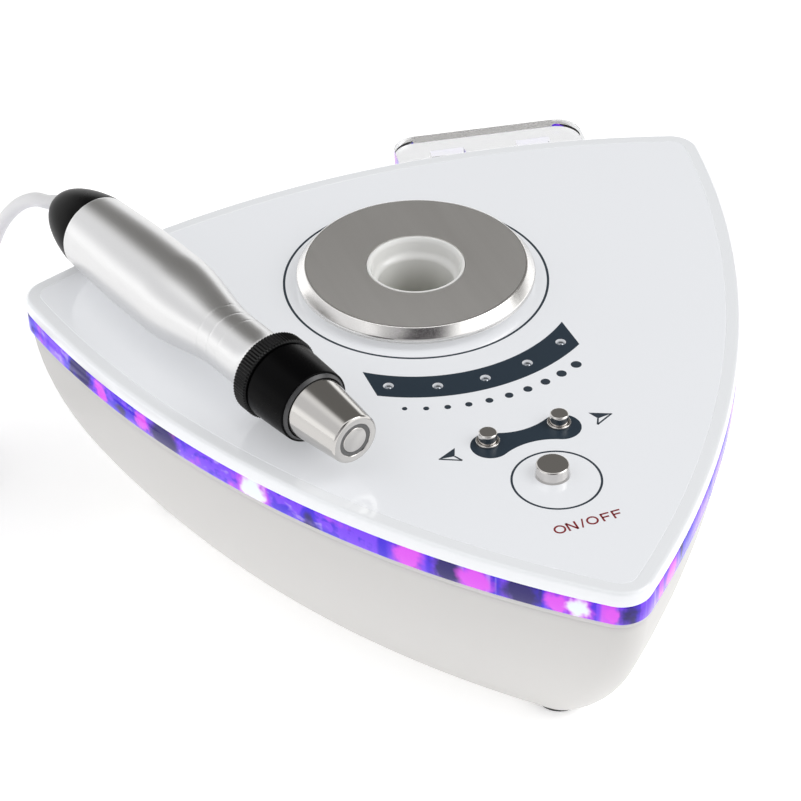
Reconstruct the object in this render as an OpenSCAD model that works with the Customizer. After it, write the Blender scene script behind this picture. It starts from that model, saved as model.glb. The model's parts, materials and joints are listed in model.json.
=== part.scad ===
// Facial toning device: a bulged three-sided console with a resting disc, three push
// buttons and a handpiece on a lead. Millimetres, +Z up, the console's front at -Y.
// The origin is on the table, under the middle of the console with its holder bracket.

/* [Console outline] */
// Half the distance between the two back points of the sharp outline
corner_x = 124.7; // [118:0.1:132]
// Distance from the resting disc's axis forward to the sharp front point
front_reach = 172; // [166:0.5:182]
// Distance from the resting disc's axis back to the line through the two back points
corner_reach = 45; // [41:0.5:50]
// Radius of the bulge of the two long sides
side_r = 356; // [320:1:420]
// Radius of the bulge of the back
back_r = 325; // [280:1:400]
// Radius that rounds the three corners
corner_r = 10; // [8:0.5:13]
// Distance from the origin back to the resting disc's axis
disc_y = 39.5; // [35:0.5:45]

/* [Console heights] */
// Height of the feet
foot_h = 3; // [2:0.5:5]
// Height of the tub, from its floor to its rim
tub_h = 67.6; // [60:0.5:76]
// Thickness of the top frame's flange, which shows as part of the tub
flange_t = 2.2; // [1.8:0.1:3]
// Height of the light ring
band_h = 6.9; // [6:0.1:9]
// Thickness of the top plate
plate_t = 5.3; // [4:0.1:7]

/* [Tub] */
// Distance of the tub's rim inside the top plate's edge
rim_inset = 1; // [0.5:0.1:2]
// Distance of the tub's floor edge inside the top plate's edge
floor_inset = 28.6; // [24:0.2:32]
// Share of that taper which runs straight, the rest being curved
straight_share = 0.18; // [0.1:0.01:0.4]
// Wall of the tub
wall = 2.8; // [2:0.1:3.2]
// Thickness of the tub's floor
floor_t = 3; // [2.5:0.1:4]
// Radius of a foot
foot_r = 8; // [6:0.5:9]
// Diameter of the long housing screws
housing_screw_d = 3; // [2.5:0.1:3.5]

/* [Light ring] */
// Width of the light ring
ring_w = 6; // [5:0.1:6.6]
// Thickness of the lamp strip's tape
strip_t = 0.9; // [0.6:0.1:1.1]
// Number of lamps on each side of the strip
lamps_per_side = 16; // [8:1:20]

/* [Resting disc] */
// Radius of the steel disc
disc_r = 39.8; // [38:0.2:42]
// Radius of the disc's flat top, inside its bevel
disc_top_r = 36.2; // [34:0.2:37]
// Thickness of the disc
disc_t = 5.6; // [5:0.1:7]
// Gap that the spacer leaves under the disc
disc_gap = 2; // [1.5:0.1:3]
// Radius of the cup's rim
cup_rim_r = 16.4; // [15.8:0.1:17]
// Radius of the cup's bore, where the handpiece's head stands
cup_bore_r = 13; // [12:0.1:13.2]
// Depth of the cup's funnel
funnel_h = 7.5; // [6:0.5:9]
// Depth of the cup from its rim to its floor
cup_depth = 34; // [28:0.5:38]

/* [Controls] */
// Radius of the arc of level lamps
lamp_arc_r = 59; // [57:0.5:61]
// Angle between two level lamps
lamp_pitch = 15.2; // [13:0.1:16]
// Radius of a level lamp
lamp_r = 1.6; // [1.3:0.1:1.8]
// Distance from the disc's axis to the two small buttons
pair_reach = 89; // [86:0.5:91]
// Half the distance between the two small buttons
pair_x = 12; // [11:0.5:14]
// Radius of the two small buttons
pair_r = 2.95; // [2.6:0.05:3.2]
// Distance from the disc's axis to the power button
power_reach = 110.7; // [108:0.1:113]
// Radius of the power button
power_r = 5.1; // [4.6:0.1:5.6]
// Height of the buttons above the plate
button_h = 4; // [3:0.1:5]
// Travel of the buttons
button_travel = 0.8; // [0.5:0.1:1]

/* [Holder bracket] */
// Width of the bracket
bracket_w = 69; // [60:0.5:76]
// Reach of the bracket behind the console's back edge
bracket_reach = 21.5; // [18:0.5:28]
// Turn of the bracket about the centre of the back's bulge
bracket_turn = 10.1; // [8:0.1:11]
// Length of each slot
slot_l = 12.5; // [10:0.5:16]
// Width of each slot
slot_w = 5; // [4.4:0.1:6]
// Half the distance between the slots' middles
slot_x = 15.8; // [14:0.1:18]

/* [Rear panel] */
// Width of the connector bay
bay_w = 64; // [56:1:68]
// Height of the connector bay
bay_h = 24; // [20:0.5:26]
// Half the distance between the two connectors
connector_x = 14; // [12:0.5:16]
// Radius of the handpiece socket's bore
socket_r = 5; // [4.5:0.1:5.5]
// Depth of the handpiece socket's bore
socket_depth = 9; // [7:0.5:10]

/* [Handpiece] */
// Sideways place of the black tail cap's seam
wand_x = -95.44; // [-98:0.01:-91]
// Place of that seam behind the disc's axis
wand_y = 46.78; // [42:0.01:50]
// Direction in which the handpiece points, from +X
wand_angle = -73.67; // [-76:0.01:-71]
// Largest radius of the handle
belly_r = 14.4; // [13.8:0.1:15]
// Length of the handle shell
shell_l = 97.2; // [94:0.1:99]
// Length of the domed tail cap
dome_l = 22.7; // [20:0.1:25]
// Radius of the tail cap at its seam
seam_r = 13.2; // [12.6:0.1:13.6]
// Radius of the handle's waist
waist_r = 10.2; // [9.8:0.1:10.6]
// Length of the treatment head in front of the coupling ring
head_l = 38.3; // [36:0.1:40]
// Radius of the treatment head's front
tip_r = 8.2; // [7.8:0.1:8.6]
// Radius of the centre electrode
core_r = 4.3; // [3.8:0.1:4.6]

/* [Lead] */
// Diameter of the lead
lead_d = 5; // [4.6:0.1:5]
// Radius of the lead plug's nose
plug_nose_r = 4.8; // [4.3:0.1:4.9]

/* [Hidden] */
$fn = 96;
eps = 0.01;
fit = 0.07;          // running clearance, each side
gap = 0.3;           // gap between pieces of different bodies at rest

// ---- outline of the console: three bulged edges between three points ----
side_front = [0, disc_y - front_reach];
back_right = [corner_x, disc_y + corner_reach];
back_left = [-corner_x, disc_y + corner_reach];

// centre of the circle of radius r through p and q, on the left of the way from p to q
function bulge_centre(p, q, r) =
    let (m = (p + q) / 2, d = q - p, h = sqrt(r * r - d * d / 4))
    m + h * [-d[1], d[0]] / norm(d);
edges = [
    [bulge_centre(side_front, back_right, side_r), side_r],
    [bulge_centre(back_right, back_left, back_r), back_r],
    [bulge_centre(back_left, side_front, side_r), side_r]];

// crossing of circle a with circle b, both drawn in by d, on the left of the way from a to b
function crossing(a, b, d) =
    let (v = b[0] - a[0], l = norm(v), ra = a[1] - d, rb = b[1] - d,
         s = (ra * ra - rb * rb + l * l) / (2 * l), h = sqrt(ra * ra - s * s))
    a[0] + v * s / l + h * [-v[1], v[0]] / l;
// corner k lies between edge k and the next one; d is its distance from both edges
function corner(k, d) = crossing(edges[k], edges[(k + 1) % 3], d);
function unit(v) = v / norm(v);
middle = (side_front + back_right + back_left) / 3;

// The console's outline, drawn in by d, with its corners rounded to r
module plan(d = 0, r = corner_r) {
    difference() {
        intersection_for (e = edges) translate(e[0]) circle(e[1] - d, $fn = 360);
        for (k = [0:2]) corner_cut(k, d, r);
    }
    for (k = [0:2]) translate(corner(k, d + r)) circle(r);
}

// What is cut from the sharp corner k outside its two tangent points
module corner_cut(k, d, r) {
    v = corner(k, d + r);
    a = v + r * unit(v - edges[k][0]);
    b = v + r * unit(v - edges[(k + 1) % 3][0]);
    out = 3 * r * unit(v - middle);
    polygon([v, a, a + out, b + out, b]);
}

module slab(low, high) { translate([0, 0, low]) linear_extrude(high - low) children(); }
module band(outer, inner, low, high) {
    slab(low, high) difference() { plan(outer); plan(inner, max(corner_r - inner + outer, 3)); }
}

// ---- heights ----
tub_top = foot_h + tub_h;
rim_z = tub_top + flange_t;
plate_z = rim_z + band_h;
top_z = plate_z + plate_t;

// ---- top frame ----
lip_w = 4;
lip_h = 4;
lip_play = 0.25;      // clearance of the lip in the tub
lip_in = tuck(tub_top - lip_h) + wall + lip_play;
deck_in = ring_w + 2.6;
deck_wall = 2.4;
deck_t = 2.4;
deck_low = plate_z - deck_t;
deck_play = 0.3;      // play of the cup and the lamps in the deck's holes
post_r = 4.5;
post_drop = 14.6;     // from the tub's rim down to where the frame's posts meet the tub's bosses
post_z = tub_top - post_drop;
boss_r = 6;
screw_head_r = 3.6;
screw_head_h = 2.4;
screw_key_r = 1.6;    // hexagon socket in a screw's head, to its corners
screw_key_h = 1.2;
screw_play = 0.2;
screw_head_play = 0.4;
screw_grip = 12;      // thread of a housing screw inside a post
boss_cap = 4;
screw_r = housing_screw_d / 2;
side_screw = [44, -62];   // side bosses, from the disc's axis
back_screw_in = 55;       // distance of the back bosses from both edges
screw_points = [[side_screw[0], disc_y + side_screw[1]], [-side_screw[0], disc_y + side_screw[1]],
    corner(0, back_screw_in), corner(1, back_screw_in)];

// ---- tub ----
flank_steps = 8;
slice = 0.01;
function tuck(z) = let (u = (tub_top - z) / tub_h)
    rim_inset + (floor_inset - rim_inset) * (straight_share * u + (1 - straight_share) * u * u);
module flank(extra, low, high) {
    hull() for (i = [0:flank_steps]) {
        z = high + (low - high) * i / flank_steps;
        translate([0, 0, min(z, high - slice)])
            linear_extrude(slice) plan(tuck(z) + extra, corner_r, $fn = 32);
    }
}

// connector bay in the tub's back wall
bay_z = 32;           // height of the bay's middle
bay_face = disc_y + 48.5; // outer face of the rear panel
panel_t = 2;
bay_rim = 3;          // plastic left around the bay
bay_ledge = 4;        // width of the seat at the panel's two ends
bay_lip = 1.2;        // width of the seat along its long edges
panel_play = 0.2;
panel_screw_r = 1.1;
panel_screw_x = bay_w / 2 - bay_ledge / 2;

// power board on the floor
board_w = 84;
board_l = 60;
board_t = 1.6;
board_y = disc_y - 17.5;
board_post_h = 6;
board_low = foot_h + floor_t + board_post_h;
board_hole_in = 4;
board_screw_r = 1.2;
board_screw_head = 2.3;
board_screw_head_h = 1.4;
board_screw_grip = 4; // thread of a board's screw inside its post
board_post_r = 3;
board_holes = [for (x = [-1, 1], y = [-1, 1])
    [x * (board_w / 2 - board_hole_in), board_y + y * (board_l / 2 - board_hole_in)]];
board_top = board_low + board_t;

// what stands on the power board, from its middle
coil_x = -20;
coil_outer_r = 13;
coil_inner_r = 6;
coil_h = 12;
coil_core_r = 3;
coil_cap = [13, 3, 2];
sink_at = [4, 8];
sink_base = [30, 14, 3];
fin_t = 2;
fin_h = 22;
fins = 6;
capacitor_r = 5;
capacitor_h = 16;
capacitor_pitch = 12;
capacitor_at = [10, -16];

// control board under the top frame
control_gap = 7.7;    // between the frame's deck and the control board
control_high = deck_low - control_gap;
control_low = control_high - board_t;
control_outline = [[-38, -44], [38, -44], [38, -80], [24, -122], [-24, -122], [-38, -80]];
control_holes = [[-33, -76], [33, -76], [-19, -117], [19, -117]];
switch_w = 6;
switch_h = 3.5;
stem_r = 1.5;
switch_bore = 2.5;    // depth of a switch's bore around the stem
bush_low = deck_low - 1;
bush_wall = 0.4;
collar_h = 1;
collar_over = 1.1;
pair_bush_r = pair_r + fit + bush_wall;
power_bush_r = power_r + fit + 1;
power_hole_play = 0.55;
button_points = [[-pair_x, -pair_reach, pair_r], [pair_x, -pair_reach, pair_r], [0, -power_reach, power_r]];

// resting disc and cup
disc_z = top_z + disc_gap;
cup_rim_z = disc_z + disc_t;
cup_step = disc_t + disc_gap; // height of the wide rim, which stands on the plate
cup_wall = 1.8;
cup_r = cup_bore_r + cup_wall;
cup_floor = 2;
cup_lip = 0.6;        // flat edge of the cup's rim
cup_ledge = 0.5;      // small ledge at the foot of the funnel
disc_play = 0.1;
disc_hole_r = cup_rim_r + disc_play;
disc_edge = 0.6;      // small chamfer under the disc's edge
spacer_in = 5;        // distance of the spacer's edge inside the disc's
nut_h = 5;
nut_w = 6;            // width of the nut around the cup, to its corners

// handpiece, measured from the seam of the tail cap towards the tip
wand_z = top_z + belly_r + gap;
wand_dir = [cos(wand_angle), sin(wand_angle), 0];
shell_t = 1.6;
crown_s = 32;         // where the handle is thickest
neck_l = 40.2;        // from the handle's shoulder to its front end
shoulder_s = shell_l - neck_l;
shoulder_r = 13.3;
waist_s = shell_l - 14.2;
collar_s = shell_l - 2;
nose_l = 12;          // length of the nose inside the shell
pin_x = 3;            // half the distance between the two contact pins
pin_r = 0.9;
pin_l = 4;            // how far the pins reach into the nose
wire_x = 1.15;        // half the distance between the two wires
shell_bore = seam_r - shell_t;
nose_bore = waist_r - shell_t;
thread_r = 9.5;
thread_play = 0.1;
ring_s = shell_l + 0.8;
ring_l = 6;
ring_r = 13.9;
ring_lip = 1.1;
core_flange_r = 12.2;
core_barrel_r = 10.6;
core_s = ring_s + 3;
core_flange_l = 1.7;
cone_l = 21.4;        // length of the bare cone in front of the sleeve
tip_s = ring_s + ring_l + head_l;
core_front = tip_s - cone_l;
sleeve_s = ring_s + ring_l + 0.4;
sleeve_back_r = 13;
sleeve_front_r = 12.2;
cone_base_r = 10.45;
cone_edge = 1;        // rounding of the cone's front edge
electrode_plug_r = 9;
electrode_plug_l = 13;
insulator_r = core_r + 1.2;
wire_r = 0.8;
cap_end_r = 3.5;      // radius of the tail cap's end, where the lead leaves
cap_point = 1.29;     // how early the tail cap tapers
cap_full = 0.39;      // how round its end is
cap_end_s = -dome_l * pow(1 - pow(cap_end_r / seam_r, 1 / cap_full), 1 / cap_point);

// lead: by hand from the tail cap over an arch to the table, then the coil beside the console
coil_at = [-168, 120];
coil_mean_r = 27.5;
coil_wide = 2;        // turns beside each other
coil_high = 3;        // turns on each other
tie_t = 0.3;
tie_play = 0.1;
coil_low = tie_t + tie_play;
plug_collar_r = 8;
plug_z = plug_collar_r;
lead_exit = [wand_x + cap_end_s * wand_dir[0], disc_y + wand_y + cap_end_s * wand_dir[1], wand_z];
lead_route = [lead_exit, [-102.9, 110.2, 99.35], [-105.03, 112.82, 98.3], [-107.27, 116.37, 97.7],
    [-109.3, 119.58, 96.2], [-111.5, 123.05, 93.6], [-113.53, 126.26, 90.3], [-115.99, 130.14, 85.2],
    [-118.34, 133.86, 78.9], [-120.5, 137.5, 71], [-122.8, 140.8, 62], [-125.3, 143.4, 52.5],
    [-128.3, 145.6, 43], [-131.8, 147.3, 33.8], [-136, 148.6, 25], [-141, 149.4, 17],
    [-146.6, 149.8, 10.6], [-152.2, 150, 6], [-158, 150, 3.5], [-163.5, 150, 2.9], [-168, 150, 2.9]];
tail_route = [[-198, 120, 12.9], [-198, 113, 12.5], [-198, 106, 11], [-198, 99, 8.9], [-198, 92, 8]];

// ---- helpers ----
module at_disc(p, z) { translate([p[0], disc_y + p[1], z]) children(); }
module along_wand(s = 0) {
    translate([wand_x, disc_y + wand_y, wand_z]) rotate([0, 90, wand_angle]) translate([0, 0, s]) children();
}
module at_bracket() { translate(edges[1][0]) rotate(-bracket_turn) children(); }
module facing_back(x, y, z) { translate([x, y, z]) rotate([-90, 0, 0]) children(); }
module tube(outer, inner, h) {
    difference() {
        cylinder(r = outer, h = h);
        translate([0, 0, -eps]) cylinder(r = inner, h = h + 2 * eps);
    }
}
// points of a quarter ellipse that rises from [r + dr, z - dz] inwards to [r, z]
function shoulder(r, z, dr, dz, n = 8) =
    [for (i = [n:-1:0]) [r + dr * sin(90 * i / n), z - dz * (1 - cos(90 * i / n))]];

// ---- console, outside ----
module base_housing() color("whitesmoke") difference() {
    union() {
        difference() {
            flank(0, foot_h, tub_top);
            flank(wall, foot_h + floor_t, tub_top + 1);
        }
        for (p = screw_points) translate([p[0], p[1], foot_h]) cylinder(r = boss_r, h = post_z - foot_h);
        for (p = board_holes)
            translate([p[0], p[1], foot_h]) cylinder(r = board_post_r, h = board_low - foot_h);
        intersection() {
            flank(0, foot_h, tub_top);
            bay_block(bay_rim, bay_face - panel_t - bay_rim);
        }
    }
    bay_block(0, bay_face - panel_t);
    translate([-bay_w / 2 + bay_ledge, bay_face - panel_t - 2 * bay_rim, bay_z - bay_h / 2 + bay_lip])
        cube([bay_w - 2 * bay_ledge, 3 * bay_rim, bay_h - 2 * bay_lip]);
    for (x = [-panel_screw_x, panel_screw_x])
        facing_back(x, bay_face - panel_t - bay_rim - eps, bay_z)
            cylinder(r = panel_screw_r, h = bay_rim + 1);
    for (p = screw_points) translate([p[0], p[1], 0]) {
        cylinder(r = screw_head_r + screw_head_play, h = post_z - boss_cap);
        cylinder(r = screw_r + screw_play, h = post_z + 1);
    }
    for (p = board_holes) translate([p[0], p[1], board_low - board_screw_grip - 1])
        cylinder(r = board_screw_r, h = board_screw_grip + 2);
    for (k = [0:2]) translate(concat(foot_point(k), [foot_h - 1]))
        cylinder(r = foot_pin_r + fit, h = foot_pin_h + 1.2);
}
bay_depth = 60;       // more than enough to cut the bay through the tub's flank
module bay_block(rim, face) {
    translate([-bay_w / 2 - rim, face, bay_z - bay_h / 2 - rim])
        cube([bay_w + 2 * rim, bay_depth, bay_h + 2 * rim]);
}

foot_pin_r = 2;
foot_pin_h = 1.8;
foot_taper = 0.6;
foot_in = 2;          // distance of a foot inside the floor's rounded edge
function foot_point(k) = corner(k, floor_inset + foot_r + foot_in);
module rubber_feet() color("dimgray") for (k = [0:2]) translate(foot_point(k)) {
    cylinder(r1 = foot_r - foot_taper, r2 = foot_r, h = foot_h);
    cylinder(r = foot_pin_r, h = foot_h + foot_pin_h);
}

module housing_screws() color("silver") for (p = screw_points)
    translate([p[0], p[1], post_z - boss_cap]) {
        translate([0, 0, -screw_head_h]) difference() {
            cylinder(r = screw_head_r, h = screw_head_h);
            translate([0, 0, -1]) cylinder(r = screw_key_r, h = screw_key_h + 1, $fn = 6);
        }
        cylinder(r = screw_r, h = boss_cap + screw_grip);
    }

module top_frame() color("white") difference() {
    union() {
        band(rim_inset, deck_in + deck_wall, tub_top, rim_z);
        band(lip_in, lip_in + lip_w, tub_top - lip_h, rim_z);
        band(deck_in, deck_in + deck_wall, rim_z - eps, plate_z);
        slab(deck_low, plate_z) plan(deck_in + 1);
        for (p = screw_points)
            translate([p[0], p[1], post_z]) cylinder(r = post_r, h = deck_low - post_z + 1);
        for (p = control_holes) at_disc(p, control_high) cylinder(r = board_post_r, h = control_gap + 1);
    }
    at_disc([0, 0], deck_low - 1) cylinder(r = cup_r + deck_play, h = deck_t + 2);
    for (p = screw_points) translate([p[0], p[1], post_z - 1])
        cylinder(r = screw_r + fit, h = screw_grip + 3);
    for (p = control_holes) at_disc(p, control_high - 1)
        cylinder(r = board_screw_r, h = board_screw_grip + 2);
    for (i = lamps) at_disc(lamp_point(i), deck_low - 1) cylinder(r = lamp_r + deck_play, h = deck_t + 2);
    for (p = button_points) at_disc(p, deck_low - 1)
        cylinder(r = (p[2] == power_r ? power_bush_r : pair_bush_r) + fit, h = deck_t + 2);
    at_bracket() for (a = [-1, 1]) rotate(a * bracket_screw_turn)
        translate([0, back_r - bracket_screw_in, tub_top - lip_h - 1])
            cylinder(r = bracket_screw_r, h = lip_h + flange_t + 2);
}

gap_reach = 30;       // how far the bracket's gap is cut in and out from the back edge
module bracket_gap(play) {
    at_bracket() translate([-bracket_w / 2 - play, back_r - gap_reach])
        square([bracket_w + 2 * play, 2 * gap_reach]);
}
module light_ring() color("mediumslateblue", 0.6) slab(rim_z, plate_z) difference() {
    plan(0);
    plan(ring_w, max(corner_r - ring_w, 3));
    bracket_gap(gap);
}

strip_in = ring_w + 1.5;
strip_edge = 0.5;     // distance of the strip's edges from the flange and the plate
strip_corner_r = 3;
lamp_size = [1.2, 3.5, 2.8];
lamp_sink = 0.05;     // how far a lamp reaches into the tape
function edge_angle(k, p) = let (v = p - edges[k][0]) atan2(v[1], v[0]);
bracket_half_angle = asin((bracket_w / 2 + lamp_size[1]) / back_r);
module led_strip() color("navy") {
    slab(rim_z + strip_edge, plate_z - strip_edge) difference() {
        plan(strip_in, strip_corner_r);
        plan(strip_in + strip_t, strip_corner_r - strip_t / 2);
        bracket_gap(1);
    }
    for (k = [0:2]) {
        low = edge_angle(k, corner((k + 2) % 3, corner_r));
        high = edge_angle(k, corner(k, corner_r));
        for (i = [0:lamps_per_side - 1]) {
            a = low + (high - low) * (i + 0.5) / lamps_per_side;
            out = edges[k][1] - strip_in + lamp_size[0] / 2 - lamp_sink;
            if (k != 1 || abs(a - 90 + bracket_turn) > bracket_half_angle)
                translate(edges[k][0]) rotate(a) translate([out, 0, (rim_z + plate_z) / 2])
                    cube(lamp_size, center = true);
        }
    }
}

lamps = [-2:2];       // the five level lamps, numbered from the middle one
function lamp_point(i) = lamp_arc_r * [sin(i * lamp_pitch), -cos(i * lamp_pitch)];
plate_play = 0.2;     // play of the cup and the lamps in the plate's holes
module top_plate() color("aliceblue") difference() {
    slab(plate_z, top_z) plan(0);
    at_disc([0, 0], plate_z - 1) cylinder(r = cup_r + plate_play, h = plate_t + 2);
    for (i = lamps) at_disc(lamp_point(i), plate_z - 1) cylinder(r = lamp_r + plate_play, h = plate_t + 2);
    for (p = button_points) at_disc(p, plate_z - 1)
        cylinder(r = p[2] == power_r ? power_r + power_hole_play : pair_bush_r + fit, h = plate_t + 2);
}

module disc_spacer() color("gainsboro") at_disc([0, 0], top_z)
    tube(disc_r - spacer_in, disc_hole_r, disc_gap);

module rest_disc() color("silver") at_disc([0, 0], disc_z) rotate_extrude()
    polygon(concat([[disc_hole_r, 0], [disc_r - disc_edge, 0], [disc_r, disc_edge]],
        shoulder(disc_top_r, disc_t, disc_r - disc_top_r, disc_t / 2), [[disc_hole_r, disc_t]]));

module rest_cup() color("white") at_disc([0, 0], cup_rim_z) rotate_extrude() {
    low = -cup_depth;
    polygon([[0, low - cup_floor], [cup_r, low - cup_floor], [cup_r, -cup_step], [cup_rim_r, -cup_step],
        [cup_rim_r, 0], [cup_rim_r - cup_lip, 0], [cup_bore_r + cup_ledge, -funnel_h],
        [cup_bore_r, -funnel_h - cup_ledge], [cup_bore_r, low], [0, low]]);
}

module cup_nut() color("gainsboro") at_disc([0, 0], deck_low - nut_h) difference() {
    cylinder(r = cup_r + nut_w, h = nut_h, $fn = 6);
    translate([0, 0, -1]) cylinder(r = cup_r + fit, h = nut_h + 2);
}

module level_lamps() color("lightcyan") for (i = lamps) at_disc(lamp_point(i), control_high) {
    cylinder(r = lamp_r, h = top_z - control_high - lamp_r);
    translate([0, 0, top_z - control_high - lamp_r]) sphere(r = lamp_r);
}

// ---- controls ----
bite = 0.05;          // how much less than its hole a screw's thread measures
module control_board() color("darkgreen") difference() {
    translate([0, disc_y, control_low]) linear_extrude(board_t) polygon(control_outline);
    for (p = control_holes) at_disc(p, control_low - 1)
        cylinder(r = board_screw_r + screw_play, h = board_t + 2);
}
module tact_switches() color("dimgray") for (p = button_points) at_disc(p, control_high) difference() {
    translate([-switch_w / 2, -switch_w / 2, 0]) cube([switch_w, switch_w, switch_h]);
    translate([0, 0, switch_h - switch_bore]) cylinder(r = stem_r + fit, h = switch_bore + 1);
}
module board_screw() {
    cylinder(r = board_screw_r - bite, h = board_t + board_screw_grip);
    translate([0, 0, -board_screw_head_h]) cylinder(r = board_screw_head, h = board_screw_head_h);
}
module board_screws() color("silver") {
    for (p = control_holes) at_disc(p, control_low) board_screw();
    for (p = board_holes) translate([p[0], p[1], board_top]) mirror([0, 0, 1]) board_screw();
}
bezel_over = 0.35;    // how far the bezel's rim stands out around its bush
bezel_h = 0.8;
module button_bezels() color("silver") for (p = [button_points[0], button_points[1]]) at_disc(p, bush_low) {
    tube(pair_bush_r, pair_r + fit, top_z - bush_low);
    translate([0, 0, top_z - bush_low]) tube(pair_bush_r + bezel_over, pair_r + fit, bezel_h);
}
guide_over = 1.8;
module power_guide() color("white") at_disc(button_points[2], bush_low) {
    tube(power_bush_r + guide_over, power_r + fit, deck_low - bush_low);
    tube(power_bush_r, power_r + fit, plate_z - bush_low);
}
collar_play = 0.2;    // gap between a button's collar and the bush above it
stem_play = 0.3;      // what is left under a pressed button's stem
module button(p, edge) {
    collar_top = bush_low - collar_play;
    stem_low = control_high + switch_h - switch_bore + button_travel + stem_play;
    at_disc(p, 0) rotate_extrude() polygon([[0, stem_low], [stem_r, stem_low],
        [stem_r, collar_top - collar_h], [p[2] + collar_over, collar_top - collar_h],
        [p[2] + collar_over, collar_top], [p[2], collar_top],
        [p[2], top_z + button_h - edge], [p[2] - edge / 3, top_z + button_h - edge / 3],
        [p[2] - edge, top_z + button_h], [0, top_z + button_h]]);
}
module power_button() color("silver") button(button_points[2], 0.6);
module minus_button() color("silver") button(button_points[0], 0.5);
module plus_button() color("silver") button(button_points[1], 0.5);

// ---- holder bracket ----
bracket_corner_r = 8.5;
bracket_tongue = deck_in - gap;
bracket_screw_r = 1.1;
bracket_screw_in = lip_in + 1.7;
bracket_screw_turn = 1.8;
bracket_screw_low = tub_top - lip_h + 0.5;
bracket_head_r = 1.9;
bracket_head_h = 1.6;
bracket_head_in = 0.4; // how deep a screw's head lies below the bracket's top
slot_reach = 8.2;     // from the console's edge to the slots' middle
module holder_bracket() color("aliceblue", 0.5) difference() {
    translate([0, 0, rim_z]) linear_extrude(band_h) at_bracket() {
        half = bracket_w / 2;
        reach = back_r + bracket_reach;
        near = back_r - bracket_tongue;
        translate([-half, near]) square([bracket_w, reach - bracket_corner_r - near]);
        translate([bracket_corner_r - half, near]) square([bracket_w - 2 * bracket_corner_r, reach - near]);
        for (s = [-1, 1])
            translate([s * (half - bracket_corner_r), reach - bracket_corner_r]) circle(bracket_corner_r);
    }
    at_bracket() for (s = [-1, 1]) {
        translate([s * slot_x - slot_l / 2, back_r + slot_reach - slot_w / 2, rim_z - 1])
            cube([slot_l, slot_w, band_h + 2]);
        rotate(s * bracket_screw_turn) translate([0, back_r - bracket_screw_in, rim_z - 1]) {
            cylinder(r = bracket_screw_r + screw_play / 2, h = band_h + 2);
            translate([0, 0, 1 + band_h - bracket_head_in - bracket_head_h])
                cylinder(r = bracket_head_r + screw_play / 2, h = band_h);
        }
    }
}
module bracket_screws() color("silver") at_bracket() for (s = [-1, 1])
    rotate(s * bracket_screw_turn) translate([0, back_r - bracket_screw_in, 0]) {
        head_low = plate_z - bracket_head_in - bracket_head_h;
        slab(bracket_screw_low, head_low + eps) circle(bracket_screw_r - bite);
        slab(head_low, head_low + bracket_head_h) circle(bracket_head_r);
    }

// ---- console, inside ----
module power_board() color("darkgreen") difference() {
    translate([-board_w / 2, board_y - board_l / 2, board_low]) cube([board_w, board_l, board_t]);
    for (p = board_holes) translate([p[0], p[1], board_low - 1])
        cylinder(r = board_screw_r + screw_play, h = board_t + 2);
}
module board_transformer() color("goldenrod") translate([coil_x, board_y, board_top]) {
    tube(coil_outer_r, coil_inner_r, coil_h);
    cylinder(r = coil_core_r, h = coil_h + coil_cap[2]);
    translate([-coil_cap[0] / 2, -coil_cap[1] / 2, coil_h]) cube(coil_cap);
}
module heat_sink() color("darkgray") translate([sink_at[0], board_y + sink_at[1], board_top]) {
    cube(sink_base);
    for (i = [0:fins - 1]) translate([i * (sink_base[0] - fin_t) / (fins - 1), 0, 0])
        cube([fin_t, sink_base[1], fin_h]);
}
module capacitors() color("midnightblue") for (i = [0:2])
    translate([capacitor_at[0] + capacitor_pitch * i, board_y + capacitor_at[1], board_top])
        cylinder(r = capacitor_r, h = capacitor_h);
ribbon_w = 14;
ribbon_t = 1;
straight = 6;         // length of the ribbon that leaves each header straight
header = [16, 5, 6];
header_in = 5;        // distance of the lower header inside the board's edge
header_reach = -54;   // the upper header, from the disc's axis
ribbon_low = [board_y - board_l / 2 + header_in, board_top + header[2]];
ribbon_high = [disc_y + header_reach, control_low - header[2]];
module ribbon_cable() color("lightgray") {
    translate([-header[0] / 2, ribbon_low[0] - header[1] / 2, board_top]) cube(header);
    translate([-header[0] / 2, ribbon_high[0] - header[1] / 2, control_low - header[2]]) cube(header);
    rotate([90, 0, 90]) translate([0, 0, -ribbon_w / 2]) linear_extrude(ribbon_w) polygon([
        ribbon_low - [ribbon_t / 2, 0], ribbon_low + [-ribbon_t / 2, straight],
        ribbon_high - [ribbon_t / 2, straight], ribbon_high - [ribbon_t / 2, 0],
        ribbon_high + [ribbon_t / 2, 0], ribbon_high + [ribbon_t / 2, -straight],
        ribbon_low + [ribbon_t / 2, straight], ribbon_low + [ribbon_t / 2, 0]]);
}
panel_fit = 0.1;      // play of the connectors in the panel's holes
panel_head_r = 1.8;
panel_head_h = 1.1;
panel_screw_end = 0.4; // what is left between a panel screw's end and the bay's far side
inlet_r = 5.2;
inlet_back = 11;      // how far the inlet reaches in behind the panel
inlet_flange = [1.4, 1.5];
inlet_depth = 8;
inlet_bore_r = 2.75;
inlet_pin_r = 1;
socket_body_r = socket_r + 2.2;
socket_flange = [1.6, 2];
socket_floor = 3;
nut_t = 3;
nut_over = 2.8;
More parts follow.
